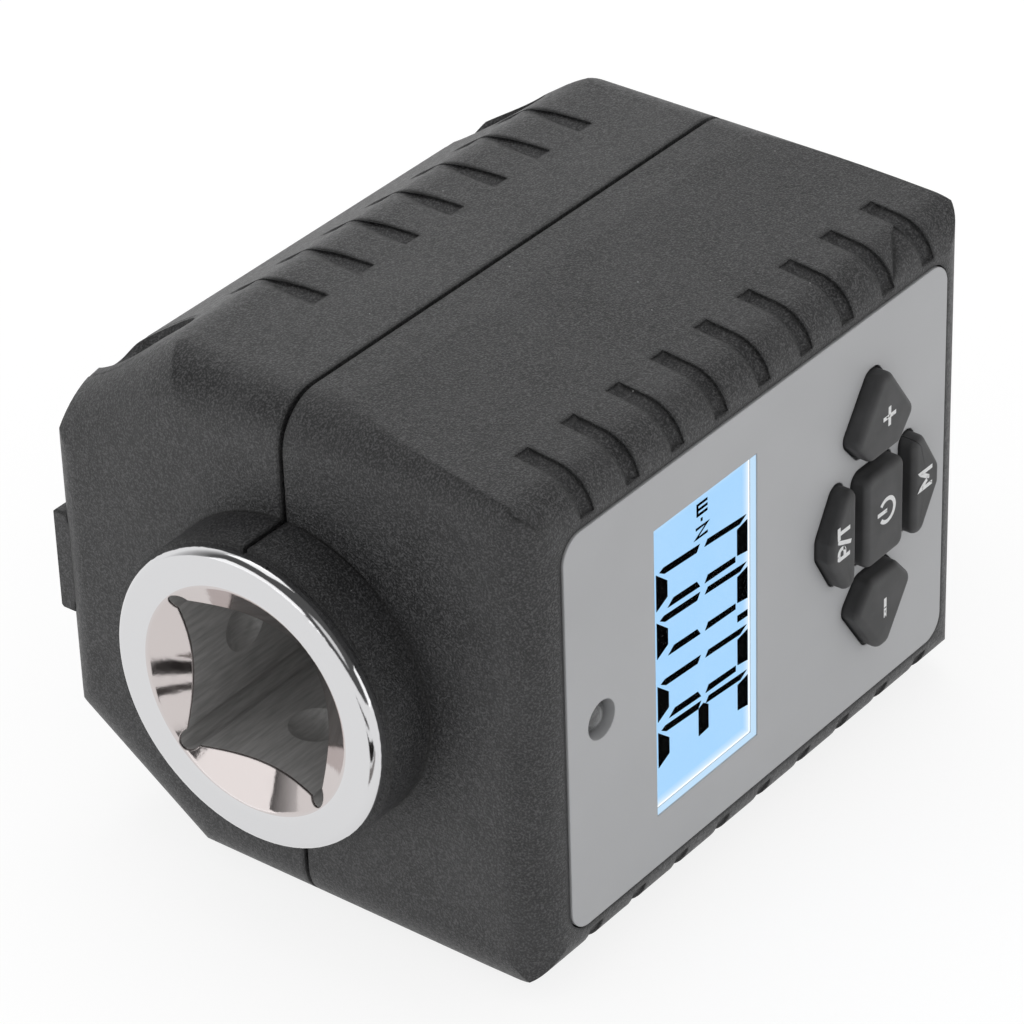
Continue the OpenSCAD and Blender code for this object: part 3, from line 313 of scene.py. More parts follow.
board, tree, shader, point = finish_of("solder_mask", MASK_COLOUR, 0.32)
copper = add(tree, "TexBrick", {"offset": 0.37}, {
    "Vector": add(tree, "Mapping", {}, {"Vector": point, "Rotation": (math.pi / 2, 0, 0)}).outputs[0],
    "Scale": BOARD_SCALE, "Mortar Size": 0.06, "Color1": (0, 0, 0, 1), "Color2": (0, 0, 0, 1),
    "Mortar": (1, 1, 1, 1)}).outputs["Color"]
tree.links.new(mixed(tree, copper, MASK_COLOUR, MASKED_COPPER), shader.inputs["Base Color"])
dress(board, "main_board")
black_resin, tree, shader, point = finish_of("black_resin", (0.02, 0.02, 0.021), 0.42)
roughen(tree, shader, noise(tree, point, 0.1 * MM), 0.008 * MM)
dress(black_resin, "board_chips", "sounder")
plated_steel, tree, shader, point = finish_of("plated_steel", (0.55, 0.55, 0.56), 0.3, {"Metallic": 1.0})
roughen(tree, shader, noise(tree, point, 0.25 * MM, 3.0), 0.01 * MM)
dress(plated_steel, "key_switches")

# Display
# A liquid crystal glass over a light box. Its ground glows pale blue, whiter along the edge where the
# light box is brightest, and its digits are black. A rubber strip with carbon lines joins it to the board.
GROUND_BLUE = (0.355, 0.640, 0.955)
EDGE_WHITE = (0.93, 0.97, 1.0)
GLOW_START, GLOW_WIDTH = 0.1 * MM, 0.9 * MM
GLOW_FALL = 0.45
GROUND_SKIN = 0.05 * MM
CONTACT_COLOUR, CARBON_COLOUR = (0.4, 0.16, 0.12), (0.02, 0.02, 0.02)
CARBON_SCALE = 500.0

window_lo, window_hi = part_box("window_lens")
ground_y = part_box("display_glass")[0].y
window_middle = (window_lo + window_hi) / 2
ground, tree, shader, point = finish_of("lit_display", (0.01, 0.01, 0.012), 0.25,
                                        {"Specular IOR Level": 0.1})
x, y, z = add(tree, "SeparateXYZ", {}, {0: point}).outputs
to_side = [calc(tree, "SUBTRACT", reach / 2,
                calc(tree, "ABSOLUTE", calc(tree, "SUBTRACT", value, middle)))
           for value, middle, reach in ((x, window_middle.x, window_hi.x - window_lo.x),
                                        (z, window_middle.z, window_hi.z - window_lo.z))]
edge_gap = calc(tree, "MINIMUM", *to_side)
inward = ramp(tree, edge_gap, GLOW_START, GLOW_WIDTH)
haze = ramp(tree, noise(tree, point, 6 * MM, 1.0), 0.2, 0.8, 0.95, 1.0)
blueness = calc(tree, "MULTIPLY", calc(tree, "POWER", inward, GLOW_FALL), haze)
tree.links.new(mixed(tree, blueness, EDGE_WHITE, GROUND_BLUE), shader.inputs["Emission Color"])
tree.links.new(calc(tree, "LESS_THAN", y, ground_y + GROUND_SKIN), shader.inputs["Emission Strength"])
dress(ground, "display_glass")
diffuser, tree, shader, point = finish_of("light_box", (0.8, 0.86, 0.92), 0.5)
roughen(tree, shader, noise(tree, point, 0.3 * MM), 0.01 * MM)
dress(diffuser, "backlight")
striped, tree, shader, point = finish_of("contact_rubber", CONTACT_COLOUR, 0.7)
lines = add(tree, "TexWave", {"bands_direction": "Z"},
            {"Vector": point, "Scale": CARBON_SCALE}).outputs["Fac"]
tree.links.new(mixed(tree, ramp(tree, lines, 0.4, 0.6), CONTACT_COLOUR, CARBON_COLOUR),
               shader.inputs["Base Color"])
dress(striped, "contact_strip")

# Digits
# Black liquid crystal segments just under the window: four digits that read 30.00, and the unit.
# They are read with the wrench end at the top, so a digit is upright towards -X and goes on along +Z.
DIGIT_TOP = 20.88 * MM
DIGIT_H = 11.35 * MM
DIGIT_W = 3.7 * MM
DIGIT_LEAN = 0.08
SEGMENT_T = 0.03 * MM
DIGIT_MIDDLES = (-7.93 * MM, -3.82 * MM, 1.76 * MM, 5.93 * MM)
DIGIT_SEGMENTS = ("abgcd", "abcdef", "abcdef", "abcdef")
SEGMENT_SHARES = {
    "a": [(0.07, 0), (0.93, 0), (0.65, 0.12), (0.27, 0.12)],
    "b": [(0.93, 0.035), (1, 0.08), (1, 0.475), (0.84, 0.44), (0.84, 0.09)],
    "c": [(0.86, 0.525), (1, 0.56), (0.99, 0.99), (0.85, 0.915)],
    "d": [(0.14, 0.885), (0.76, 0.885), (0.86, 1), (0.11, 1)],
    "e": [(0, 0.525), (0.16, 0.56), (0.16, 0.865), (0.02, 0.865)],
    "f": [(0, 0.12), (0.16, 0.185), (0.16, 0.44), (0, 0.475)],
    "g": [(0.17, 0.445), (0.84, 0.445), (0.91, 0.5), (0.8, 0.555), (0.23, 0.555)],
}
POINT_CORNERS = [(0, 0.885), (0.16, 0.885), (0.16, 1), (0, 1)]
POINT_MIDDLE = 0.55 * MM
UNIT_TOP = 25.8 * MM
UNIT_LEFT = 8.42 * MM
UNIT_H = 1.45 * MM
UNIT_LETTER = 0.80 * MM
UNIT_STROKE = 0.22 * MM
UNIT_LINES = ([(1, 0), (0, 0), (1, 1), (0, 1)], [(0.5, 1.55), (0.5, 1.9)],
              [(1, 2.4), (0.15, 2.4), (0.15, 3.5), (1, 3.5)], [(0.15, 2.95), (1, 2.95)])


def piece(name, shells, material, sharp=35.0):
    """One mesh from closed shells of points and faces, each turned so that its faces point outwards."""
    points, faces = [], []
    for shell_points, shell_faces in shells:
        fans = [(f[0], f[k], f[k + 1]) for f in shell_faces for k in range(1, len(f) - 1)]
        a, b, c = (shell_points[np.array(fans)[:, k]] for k in range(3))
        outward = np.einsum("ij,ij->i", a, np.cross(b, c)).sum() > 0
        start = sum(len(p) for p in points)
        points.append(shell_points)
        faces += [tuple(int(i) + start for i in (f if outward else f[::-1])) for f in shell_faces]
    mesh = bpy.data.meshes.new(name)
    mesh.from_pydata(np.concatenate(points), [], faces)
    mesh.materials.append(material)
    mesh.shade_smooth()
    mesh.set_sharp_from_angle(angle=math.radians(sharp))
    thing = bpy.data.objects.new(name, mesh)
    scene.collection.objects.link(thing)
    return thing


def plate(outline, y_front, y_back):
    """Shell of a flat outline in (x, z), carried from y_front to y_back."""
    flat = np.asarray(outline, float)
    count = len(flat)
    points = np.concatenate([np.insert(flat, 1, y, axis=1) for y in (y_front, y_back)])
    step = np.arange(count)
    after = (step + 1) % count
    walls = np.stack([step, after, after + count, step + count], axis=1)
    return points, [*walls.tolist(), list(range(count - 1, -1, -1)), list(range(count, 2 * count))]


def placed(corners, middle_z):
    """Corners given as shares of a digit's width and height, leaning, as places in (x, z)."""
    across, down = np.asarray(corners, float).T
    return np.stack([DIGIT_TOP + down * DIGIT_H,
                     middle_z + (across - 0.5) * DIGIT_W - DIGIT_LEAN * (down - 0.5) * DIGIT_H], axis=1)


def stroke(path, width, y_front, y_back):
    """Shell of a line of even width along path, whose points are (x, z). Its corners are mitred."""
    way = np.asarray(path, float)
    along = np.diff(way, axis=0)
    along /= np.linalg.norm(along, axis=1)[:, None]
    before = np.concatenate([along[:1], along])
    after = np.concatenate([along, along[-1:]])
    side = np.stack([-(before + after)[:, 1], (before + after)[:, 0]], axis=1)
    side /= np.linalg.norm(side, axis=1)[:, None]
    square = np.stack([-after[:, 1], after[:, 0]], axis=1)
    side *= (width / 2 / np.clip(np.einsum("ij,ij->i", side, square), 0.4, 1))[:, None]
    left, right = way + side, way - side
    flat = np.concatenate([left, right])
    count, total = len(way), 2 * len(way)
    points = np.concatenate([np.insert(flat, 1, y, axis=1) for y in (y_front, y_back)])
    k = np.arange(count - 1)
    front = np.stack([k, k + 1, k + 1 + count, k + count], axis=1)
    back = front[:, ::-1] + total
    left_wall = np.stack([k + 1, k, k + total, k + 1 + total], axis=1)
    right_wall = left_wall[:, ::-1] + count
    last = count - 1
    ends = [[0, count, count + total, total], [last + count, last, last + total, last + count + total]]
    return points, [*front.tolist(), *back.tolist(), *left_wall.tolist(), *right_wall.tolist(), *ends]


crystal, tree, shader, point = finish_of("black_crystal", (0.002, 0.002, 0.002), 0.5,
                                         {"Specular IOR Level": 0.0})
tree.links.new(ramp(tree, noise(tree, point, 0.5 * MM), 0.3, 0.7, 0.4, 0.6), shader.inputs["Roughness"])
segment_y = (ground_y - SEGMENT_T, ground_y + SEGMENT_T)
digits = [plate(placed(SEGMENT_SHARES[letter], middle), *segment_y)
          for middle, letters in zip(DIGIT_MIDDLES, DIGIT_SEGMENTS) for letter in letters]
digits.append(plate(placed(POINT_CORNERS, POINT_MIDDLE), *segment_y))
digits += [stroke([(UNIT_TOP + down * UNIT_H, UNIT_LEFT + across * UNIT_LETTER) for down, across in line],
                  UNIT_STROKE, *segment_y) for line in UNIT_LINES]
display_digits = piece("display_digits", digits, crystal)
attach(display_digits, "unit")

# Rim of the light box
# The bright rim of the diffuser that shows as a white line round the display, in the gap between the
# glass and the window's edge.
RIM_T = 0.11 * MM
RIM_INSET = 0.075 * MM
RIM_SPAN = (0.01 * MM, 0.5 * MM)

x0, x1 = window_lo.x + RIM_INSET - RIM_T / 2, window_hi.x - RIM_INSET + RIM_T / 2
z0, z1 = window_lo.z + RIM_INSET - RIM_T / 2, window_hi.z - RIM_INSET + RIM_T / 2
rim_corners = [(x0, z0), (x1, z0), (x1, z1), (x0, z1), (x0, z0)]
rim_y = [ground_y + rise for rise in RIM_SPAN]
rim_light, tree, shader, point = finish_of("rim_light", (0.6, 0.62, 0.64), 0.5, {"Emission Strength": 1.0})
tree.links.new(mixed(tree, noise(tree, point, 2 * MM), (0.80, 0.88, 0.95), EDGE_WHITE),
               shader.inputs["Emission Color"])
light_rim = piece("light_rim", [stroke(rim_corners[k:k + 2], RIM_T, *rim_y) for k in range(4)], rim_light)
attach(light_rim, "unit")

# Indicator lamp
# A clear 3 mm lamp moulded in epoxy, on two leads from the board. It looks out of a hole in the plate.
clear_resin, tree, shader, point = finish_of("clear_epoxy", (0.80, 0.81, 0.82), 0.05,
                                             {"Transmission Weight": 0.88, "IOR": 1.5})
roughen(tree, shader, noise(tree, point, 0.8 * MM), 0.01 * MM)
dress(clear_resin, "indicator_lamp")

# Front shell
# The front half of the housing, moulded in charcoal ABS with a fine spark-eroded texture. It screws
# to the rear half and clamps the spindle in its two collars.
SHELL_COLOUR = (0.011, 0.011, 0.012)
SHELL_LIGHT = (0.082, 0.082, 0.084)
# Colour of the painted shade on the edges of the shells and the cover.
PAINTED_EDGE_SHADE = (0.004, 0.004, 0.004)
SHELL_DUST = (0.3, 0.3, 0.3)
ROOT_SHADE_COLOUR = (0.001, 0.001, 0.001)
EDGE_REACH = 0.7 * MM
EDGE_SHADE = 0.75
COLLAR_RADIUS = 12.6 * MM
END_FACE_X = 5.7 * MM
ROOT_LINE = 0.09 * MM


def moulded(name, colour, light, depth=0.08 * MM):
    """Charcoal plastic: a fine spark-eroded grain, faint clouds, specks of light dust, and painted shade
    darkening its edges.

    A thin dark line of painted shade follows the root of the collar on the wrench end's face."""
    material, tree, shader, point = finish_of(name, colour, 0.5, {"Specular IOR Level": 0.5})
    fine = noise(tree, point, 0.16 * MM, 2.0, 0.6)
    coarse = noise(tree, point, 0.45 * MM, 2.0, 0.5)
    clouds = noise(tree, point, 7 * MM, 3.0)
    cells = add(tree, "TexVoronoi", {}, {"Vector": point, "Scale": 1 / (2.2 * MM)})
    drawn = add(tree, "SeparateColor", {}, {0: cells.outputs["Color"]}).outputs[0]
    speck = calc(tree, "MULTIPLY", calc(tree, "GREATER_THAN", drawn, 0.8),
                 calc(tree, "LESS_THAN", cells.outputs["Distance"], 0.03))
    height = calc(tree, "ADD", calc(tree, "MULTIPLY", fine, 0.75), calc(tree, "MULTIPLY", coarse, 0.5))
    tops = mixed(tree, ramp(tree, fine, 0.46, 0.66), colour, light)
    cloudy = mixed(tree, ramp(tree, clouds, 0.3, 0.7, 0.0, 0.18), tops, scaled(light, 1.25))
    # Painted shade: the colour darkens towards edges and creases, where a wide rounding's normal leaves the
    # true normal.
    bend = add(tree, "VectorMath", {"operation": "DOT_PRODUCT"}, {
        0: add(tree, "Bevel", {"samples": 4}, {"Radius": EDGE_REACH}).outputs[0],
        1: add(tree, "NewGeometry").outputs["True Normal"]}).outputs["Value"]
    edge_shaded = mixed(tree, ramp(tree, bend, 0.985, 0.86, 0.0, EDGE_SHADE), cloudy, PAINTED_EDGE_SHADE)
    dusty = mixed(tree, speck, edge_shaded, SHELL_DUST)
    # Painted shade: a thin, patchy dark line on the end face, round the root of the collar.
    x, y, z = add(tree, "SeparateXYZ", {}, {0: point}).outputs
    near_collar = calc(tree, "LESS_THAN", hypot(tree, y, z), COLLAR_RADIUS + ROOT_LINE)
    off_face = calc(tree, "ABSOLUTE", calc(tree, "SUBTRACT", x, END_FACE_X))
    in_root = calc(tree, "MULTIPLY", near_collar, calc(tree, "LESS_THAN", off_face, ROOT_LINE))
    patchy = ramp(tree, noise(tree, point, 9 * MM, 1.0), 0.42, 0.6, 1.0, 0.1)
    root_shade = calc(tree, "MULTIPLY", in_root, patchy)
    tree.links.new(mixed(tree, root_shade, dusty, ROOT_SHADE_COLOUR), shader.inputs["Base Color"])
    tree.links.new(ramp(tree, coarse, 0.3, 0.7, 0.42, 0.56), shader.inputs["Roughness"])
    roughen(tree, shader, height, depth, edge=EDGE_REACH)
    return material


charcoal = moulded("charcoal_abs", SHELL_COLOUR, SHELL_LIGHT, 0.13 * MM)
dress(charcoal, "front_shell")

# Grip groove beds
# The front shell's grip grooves are shallow, with a round bottom and round ends. Each bed is part of
# the moulding and carries that bottom, swept along the front edge and a little way up the side.
EDGE_CENTRE = (-18.75 * MM, 17.2 * MM)
EDGE_RADIUS = 3.5 * MM
SIDE_START = (-4 * MM, 22.2 * MM)
GROOVE_END_Y = -16.45 * MM
GROOVE_STOP = 0.65 * MM
GROOVE_HALF_W = 0.775 * MM
GROOVE_DEPTH = 0.50 * MM
GROOVE_XS = (33.75 + 5.35 * (np.arange(9) - 4)) * MM
GROOVE_UNDER = 1.2 * MM
BED_OVERLAP = 0.12 * MM
BED_SINK = 0.02 * MM
BED_END = 0.7 * MM


def skin(rings):
    """Closed shell through rings, an array of (rows, points, 3). Each end row is closed by a fan."""
    rows, count = rings.shape[:2]
    points = np.concatenate([rings.reshape(-1, 3), rings[[0, -1]].mean(axis=1)])
    i, j = (g.ravel() for g in np.meshgrid(np.arange(rows - 1), np.arange(count), indexing="ij"))
    k = (j + 1) % count
    walls = np.stack([i * count + j, i * count + k, (i + 1) * count + k, (i + 1) * count + j], axis=1)
    j = np.arange(count)
    k = (j + 1) % count
    last = (rows - 1) * count
    first_fan = np.stack([k, j, np.full(count, rows * count)], axis=1)
    last_fan = np.stack([last + j, last + k, np.full(count, rows * count + 1)], axis=1)
    return points, [*walls.tolist(), *first_fan.tolist(), *last_fan.tolist()]


def bed(line, outward, depth, under, half_w, x, side):
    """Shell of a channel's bed along a line in (y, z), whose outward directions are given.

    Across it, the bed lies below the line by BED_SINK + depth * (1 - v ** 2) for v from -1 to 1."""
    across = np.linspace(-1, 1, 11)
    low = BED_SINK + depth[:, None] * (1 - across[None] ** 2)
    drop = np.concatenate([low, np.full((len(line), 2), under)], axis=1)
    flat = line[:, None] - outward[:, None] * drop[..., None]
    v = np.broadcast_to(np.concatenate([across, [1, -1]]), drop.shape)
    return skin(np.stack([x + v * half_w, flat[..., 0], side * flat[..., 1]], axis=-1))


def travelled(line):
    """Distance along a line to each of its points. It is 0 where the bed's overlap ends."""
    steps = np.linalg.norm(np.diff(line, axis=0), axis=1)
    return np.concatenate([[0], np.cumsum(steps)]) - BED_OVERLAP


def round_ended(along, reach=math.inf):
    """Share of the depth: sqrt(1 - (1 - g) ** 2), where g is the distance to an end over BED_END."""
    gap = np.clip(np.minimum(along, reach - along) / BED_END, 0, 1)
    return np.sqrt(1 - (1 - gap) ** 2)


centre, start = np.array(EDGE_CENTRE), np.array(SIDE_START)
gap = start - centre
tangent = math.asin(EDGE_RADIUS / np.linalg.norm(gap)) + math.atan2(*gap)
angle = np.linspace(math.asin((GROOVE_STOP - BED_OVERLAP) / EDGE_RADIUS), tangent, 22)
outward = np.stack([-np.cos(angle), np.sin(angle)], axis=1)
line = centre + EDGE_RADIUS * outward
run = (GROOVE_END_Y + BED_OVERLAP - line[-1, 0]) / (start - line[-1])[0]
line = np.concatenate([line, line[-1] + (start - line[-1]) * run * np.linspace(0.25, 1, 4)[:, None]])
outward = np.concatenate([outward, np.repeat(outward[-1:], 4, axis=0)])
along = travelled(line)
depth = GROOVE_DEPTH * round_ended(along, along[-1] - BED_OVERLAP)
groove_beds = piece("grip_groove_beds", [
    bed(line, outward, depth, GROOVE_UNDER, GROOVE_HALF_W + BED_OVERLAP, x, side)
    for x in GROOVE_XS for side in (1, -1)], charcoal, sharp=60)
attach(groove_beds, "unit")

# Window lens
# A thin clear acrylic sheet bonded to the display. Light passes through it, and its cut edges glow.
SHEET_EDGE = (0.55, 0.76, 0.96)

clear_sheet, tree, shader, point = finish_of("clear_acrylic", (1, 1, 1), 0.0,
                                             {"Transmission Weight": 1.0, "IOR": 1.02,
                                              "Emission Color": (*SHEET_EDGE, 1)})
turned = add(tree, "SeparateXYZ", {}, {0: add(tree, "NewGeometry").outputs["True Normal"]}).outputs[1]
on_edge = calc(tree, "LESS_THAN", calc(tree, "ABSOLUTE", turned), 0.5)
tree.links.new(on_edge, shader.inputs["Emission Strength"])
tree.links.new(mixed(tree, on_edge, (1, 1, 1), (0.01, 0.01, 0.01)), shader.inputs["Base Color"])
tree.links.new(calc(tree, "SUBTRACT", 1.0, on_edge), shader.inputs["Transmission Weight"])
tree.links.new(ramp(tree, noise(tree, point, 3 * MM), 0.45, 0.8, 0.0, 0.04), shader.inputs["Roughness"])
dress(clear_sheet, "window_lens")
parts["window_lens"].visible_shadow = False

# Face plate
# A satin grey plastic plate glued into the recess of the front shell, with clean cut edges.
PLATE_COLOUR = (0.470, 0.474, 0.484)

satin_grey, tree, shader, point = finish_of("satin_grey", PLATE_COLOUR, 0.5, {"Specular IOR Level": 0.4})
grain = noise(tree, point, 0.2 * MM, 2.0)
shade = noise(tree, point, 9 * MM, 2.0)
tree.links.new(mixed(tree, ramp(tree, shade, 0.3, 0.7), PLATE_COLOUR, scaled(PLATE_COLOUR, 1.05)),
               shader.inputs["Base Color"])
roughen(tree, shader, grain, 0.006 * MM, edge=0.15 * MM)
dress(satin_grey, "face_plate")

# Keys
# Five separate rubber keys that stand out of the plate, each with a crowned top, soft shoulders, a lip
# behind the plate that holds it in, and a stem over its switch.
KEYS_X = 47.55 * MM
KEY_ROUND = 0.9 * MM
KEY_CROWN = 0.10 * MM
KEY_CROWN_LIMIT = 1.5
KEY_SHOULDER = 0.55 * MM
KEY_LIP = 0.55 * MM
KEY_LIP_T = 0.9 * MM
KEY_BEVEL = 0.15 * MM
LIP_BEFORE_GLASS_BACK = 2.2 * MM
STEM_RADIUS, STEM_TIP_RADIUS = 1.0 * MM, 0.8 * MM
STEM_BEVEL = 0.2 * MM
STEM_STEPS = 32
POWER_HALF = (2.6 * MM, 4.1 * MM)
END_KEY = (3.85 * MM, 3.5 * MM, 4.8 * MM)
SIDE_KEY = (5.35 * MM, 6.9 * MM, 3.9 * MM)
WEDGE_SHARES = [(0, -0.83), (0.33, -1), (1, -0.17), (1, 0.17), (0.33, 1), (0, 0.83)]
HOUSE_SHARES = [(0, -0.49), (0.33, -1), (1, -0.17), (1, 0.17), (0.33, 1), (0, 0.49)]
ARC_STEPS = 8


def rounded(corners, radius):
    """Arc centres and unit directions round a convex outline whose corners are rounded by radius.

    A point on the outline is centre + radius * direction, so a smaller radius gives an inner outline."""
    corners = np.asarray(corners, float)
    after = np.roll(corners, -1, axis=0) - corners
    after /= np.linalg.norm(after, axis=1)[:, None]
    turn = np.cross(np.roll(after, 1, axis=0), after)
    if turn.sum() < 0:
        return rounded(corners[::-1], radius)
    out = np.stack([after[:, 1], -after[:, 0]], axis=1)
    before = np.roll(out, 1, axis=0)
    middle = before + out
    centres = corners - middle * (radius / np.einsum("ij,ij->i", middle, out))[:, None]
    start = np.arctan2(before[:, 1], before[:, 0])
    sweep = np.arctan2(np.cross(before, out), np.einsum("ij,ij->i", before, out))
    angle = start[:, None] + sweep[:, None] * np.linspace(0, 1, ARC_STEPS)[None]
    direction = np.stack([np.cos(angle), np.sin(angle)], axis=-1).reshape(-1, 2)
    return np.repeat(centres, ARC_STEPS, axis=0), direction


def key_height(flat, middle, reach, top_y):
    """Height of the crowned top: top_y + KEY_CROWN * (distance from the middle / reach) ** 2."""
    share = ((flat - middle) ** 2).sum(axis=-1) / reach ** 2
    return top_y + KEY_CROWN * np.minimum(share, KEY_CROWN_LIMIT)


def spread(box):
    """The middle of a key's box in (x, z), and half its longer side."""
    lo, hi = box
    return np.array([(lo.x + hi.x) / 2, (lo.z + hi.z) / 2]), max(hi.x - lo.x, hi.z - lo.z) / 2


def key_shells(corners, box):
    """Shells of a key: its body, lofted through rounded outlines, and its stem."""
    centres, direction = rounded(corners, KEY_ROUND)
    lo, hi = box
    middle, reach = spread(box)
    turn = np.linspace(0, math.pi / 2, 9)
    inset = KEY_SHOULDER * (1 - np.cos(turn))
    drop = KEY_SHOULDER * (1 - np.sin(turn))
    wall_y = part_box("display_glass")[1].y - LIP_BEFORE_GLASS_BACK
    levels = [(-KEY_LIP + KEY_BEVEL, wall_y + KEY_LIP_T, 0), (-KEY_LIP, wall_y + KEY_LIP_T - KEY_BEVEL, 0),
              (-KEY_LIP, wall_y, 0), (0, wall_y, 0)]
    levels += [(i, d, 1) for i, d in zip(inset, drop)]
    levels += [(KEY_SHOULDER + s * (KEY_ROUND - KEY_SHOULDER), 0, 1) for s in (0.5, 0.97)]
    rings = []
    for step, height, crowned in levels:
        flat = centres + (KEY_ROUND - step) * direction
        y = key_height(flat, middle, reach, lo.y) + height if crowned else np.full(len(flat), height)
        rings.append(np.stack([flat[:, 0], y, flat[:, 1]], axis=1))
    for share in (0.75, 0.5, 0.25, 0.08):
        flat = middle + (centres + 0.03 * KEY_ROUND * direction - middle) * share
        rings.append(np.stack([flat[:, 0], key_height(flat, middle, reach, lo.y), flat[:, 1]], axis=1))
    angle = np.linspace(0, 2 * math.pi, STEM_STEPS, endpoint=False)
    stem = [np.stack([middle[0] + r * np.cos(angle), np.full(STEM_STEPS, y),
                      middle[1] + r * np.sin(angle)], axis=1)
            for r, y in ((STEM_RADIUS, wall_y + KEY_LIP_T / 2), (STEM_RADIUS, hi.y - STEM_BEVEL),
                         (STEM_TIP_RADIUS, hi.y))]
    return [skin(np.array(rings)), skin(np.array(stem))]


def key_corners(start, reach, half, shares, axis, sign):
    """Corners of a key that points away from the middle key along X or Z."""
    along = np.array([sign * (start + s * reach) for s, _ in shares])
    across = np.array([t * half for _, t in shares])
    flat = (along, across) if axis == 0 else (across, along)
    return np.stack(flat, axis=1) + [KEYS_X, 0]


rubber, tree, shader, point = finish_of("key_rubber", (0.036, 0.036, 0.037), 0.55,
                                        {"Specular IOR Level": 0.5})
matt = noise(tree, point, 0.12 * MM, 2.0)
wear = noise(tree, point, 2.5 * MM, 3.0)
tree.links.new(mixed(tree, ramp(tree, wear, 0.35, 0.7), (0.032, 0.032, 0.033), (0.055, 0.055, 0.057)),
               shader.inputs["Base Color"])
roughen(tree, shader, matt, 0.006 * MM, edge=0.1 * MM)

power_x, power_z = POWER_HALF
key_outlines = {
    "power": [(KEYS_X - power_x, -power_z), (KEYS_X + power_x, -power_z),
              (KEYS_X + power_x, power_z), (KEYS_X - power_x, power_z)],
    "track": key_corners(*END_KEY, WEDGE_SHARES, 0, -1),
    "mode": key_corners(*END_KEY, WEDGE_SHARES, 0, 1),
    "plus": key_corners(*SIDE_KEY, HOUSE_SHARES, 1, 1),
    "minus": key_corners(*SIDE_KEY, HOUSE_SHARES, 1, -1),
}
for key_name, corners in key_outlines.items():
    node = "key_" + key_name
    key = piece("rubber_" + node, key_shells(corners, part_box(node)), rubber, sharp=50)
    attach(key, key_name + "_key")
    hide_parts(node)

# Key legends
# White ink printed on the keys: plus, minus, a power sign and two short names. The tops of the
# letters point to the wrench end.
LEGEND_STROKE = 0.36 * MM
INK_T = 0.012 * MM


def arc(middle, radius, first, last, steps=28):
    """Points of a circular arc in (x, z), by angle from -X towards +Z."""
    angle = np.radians(np.linspace(first, last, steps))
    return np.stack([middle[0] - radius * np.cos(angle), middle[1] + radius * np.sin(angle)], axis=1)


LEGENDS = {
    "plus": [[(46.9, 8.62), (48.6, 8.62)], [(47.75, 7.77), (47.75, 9.47)]],
    "minus": [[(47.55, -9.5), (47.55, -7.75)]],
    "mode": [[(53.8, -0.35), (52.15, -0.35), (53.3, 0.37), (52.15, 1.1), (53.8, 1.1)]],
    "track": [[(42.6, -0.85), (41.15, -0.85), *arc((41.53, -0.35), 0.38, 0, 180, 12), (41.91, -0.85)],
              [(42.75, 0.1), (41.0, 0.75)], [(41.15, 0.9), (41.15, 2.0)], [(41.15, 1.45), (42.6, 1.45)]],
    "power": [arc((47.6, 0.3), 1.0, 38, 322), [(46.35, 0.3), (47.6, 0.3)]],
}

white_ink, tree, shader, point = finish_of("white_ink", (0.86, 0.86, 0.86), 0.6)
tree.links.new(mixed(tree, noise(tree, point, 0.15 * MM, 2.0), (0.74, 0.74, 0.74), (0.9, 0.9, 0.9)),
               shader.inputs["Base Color"])
for key_name, lines in LEGENDS.items():
    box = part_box("key_" + key_name)
    middle, reach = spread(box)
    shells = []
    for line in lines:
        way = np.asarray(line, float) * MM
        share = np.linspace(0, len(way) - 1, 6 * len(way))
        way = np.stack([np.interp(share, np.arange(len(way)), way[:, k]) for k in (0, 1)], axis=1)
        points, faces = stroke(way, LEGEND_STROKE, -INK_T, INK_T)
        points[:, 1] += key_height(points[:, [0, 2]], middle, reach, box[0].y + INK_T)
        shells.append((points, faces))
    legend = piece("legend_" + key_name, shells, white_ink)
    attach(legend, key_name + "_key")

# Rear shell
# The back half of the housing, in the same plastic. Its flanks slope in to a crowned back, and it
# carries the battery bay, the screw recesses and the grip slots.
charcoal_rear = moulded("charcoal_abs_rear", scaled(SHELL_COLOUR, 0.97), SHELL_LIGHT)
dress(charcoal_rear, "rear_shell")

# Grip slot beds and recess rims
# The rear shell's grip slots are shallow and fade out on the flank, and its screw recesses narrow
# towards the ridge. The beds and rims are part of the moulding and give them that form.
RIDGE_CENTRE = (10.865 * MM, 17.2 * MM)
RIDGE_RADIUS = 5 * MM
FLANK_TURN = math.radians(35)
SLOT_START_Y = 7 * MM
SLOT_TAIL_Y = 16.2 * MM
SLOT_REACH = 7.2 * MM
SLOT_DEPTH = 0.55 * MM
SLOT_FADE = 0.7
SLOT_UNDER = 1.75 * MM
SLOT_HALF_W = 0.85 * MM
SLOT_XS = (35.15 + 5.37 * (np.arange(7) - 3)) * MM
RECESS_XS = (12.2 * MM, 54.7 * MM)
RECESS_Z = 17.4 * MM
RECESS_RADIUS = 3.6 * MM
RIM_RADIUS = 3.0 * MM
RIM_SHIFT = 0.6 * MM
RIM_OVERLAP = 0.05 * MM
RIM_ROUNDING = 0.12 * MM
RIM_STEPS = 64
SEAT_Y = 8 * MM
FLANK_REACH = 25.321 * MM
FLANK_END_ROUND = 5 * MM
END_FACES = (END_FACE_X, 61.2 * MM)
CROWN_CENTRE, CROWN_RADIUS = -42.5 * MM, 66 * MM
CROWN_EDGE, CROWN_EDGE_ROUND = (20.256 * MM, 14.896 * MM), 1.5 * MM
CROWN_EDGE_SPAN = (0.344 * MM, 1.229 * MM)

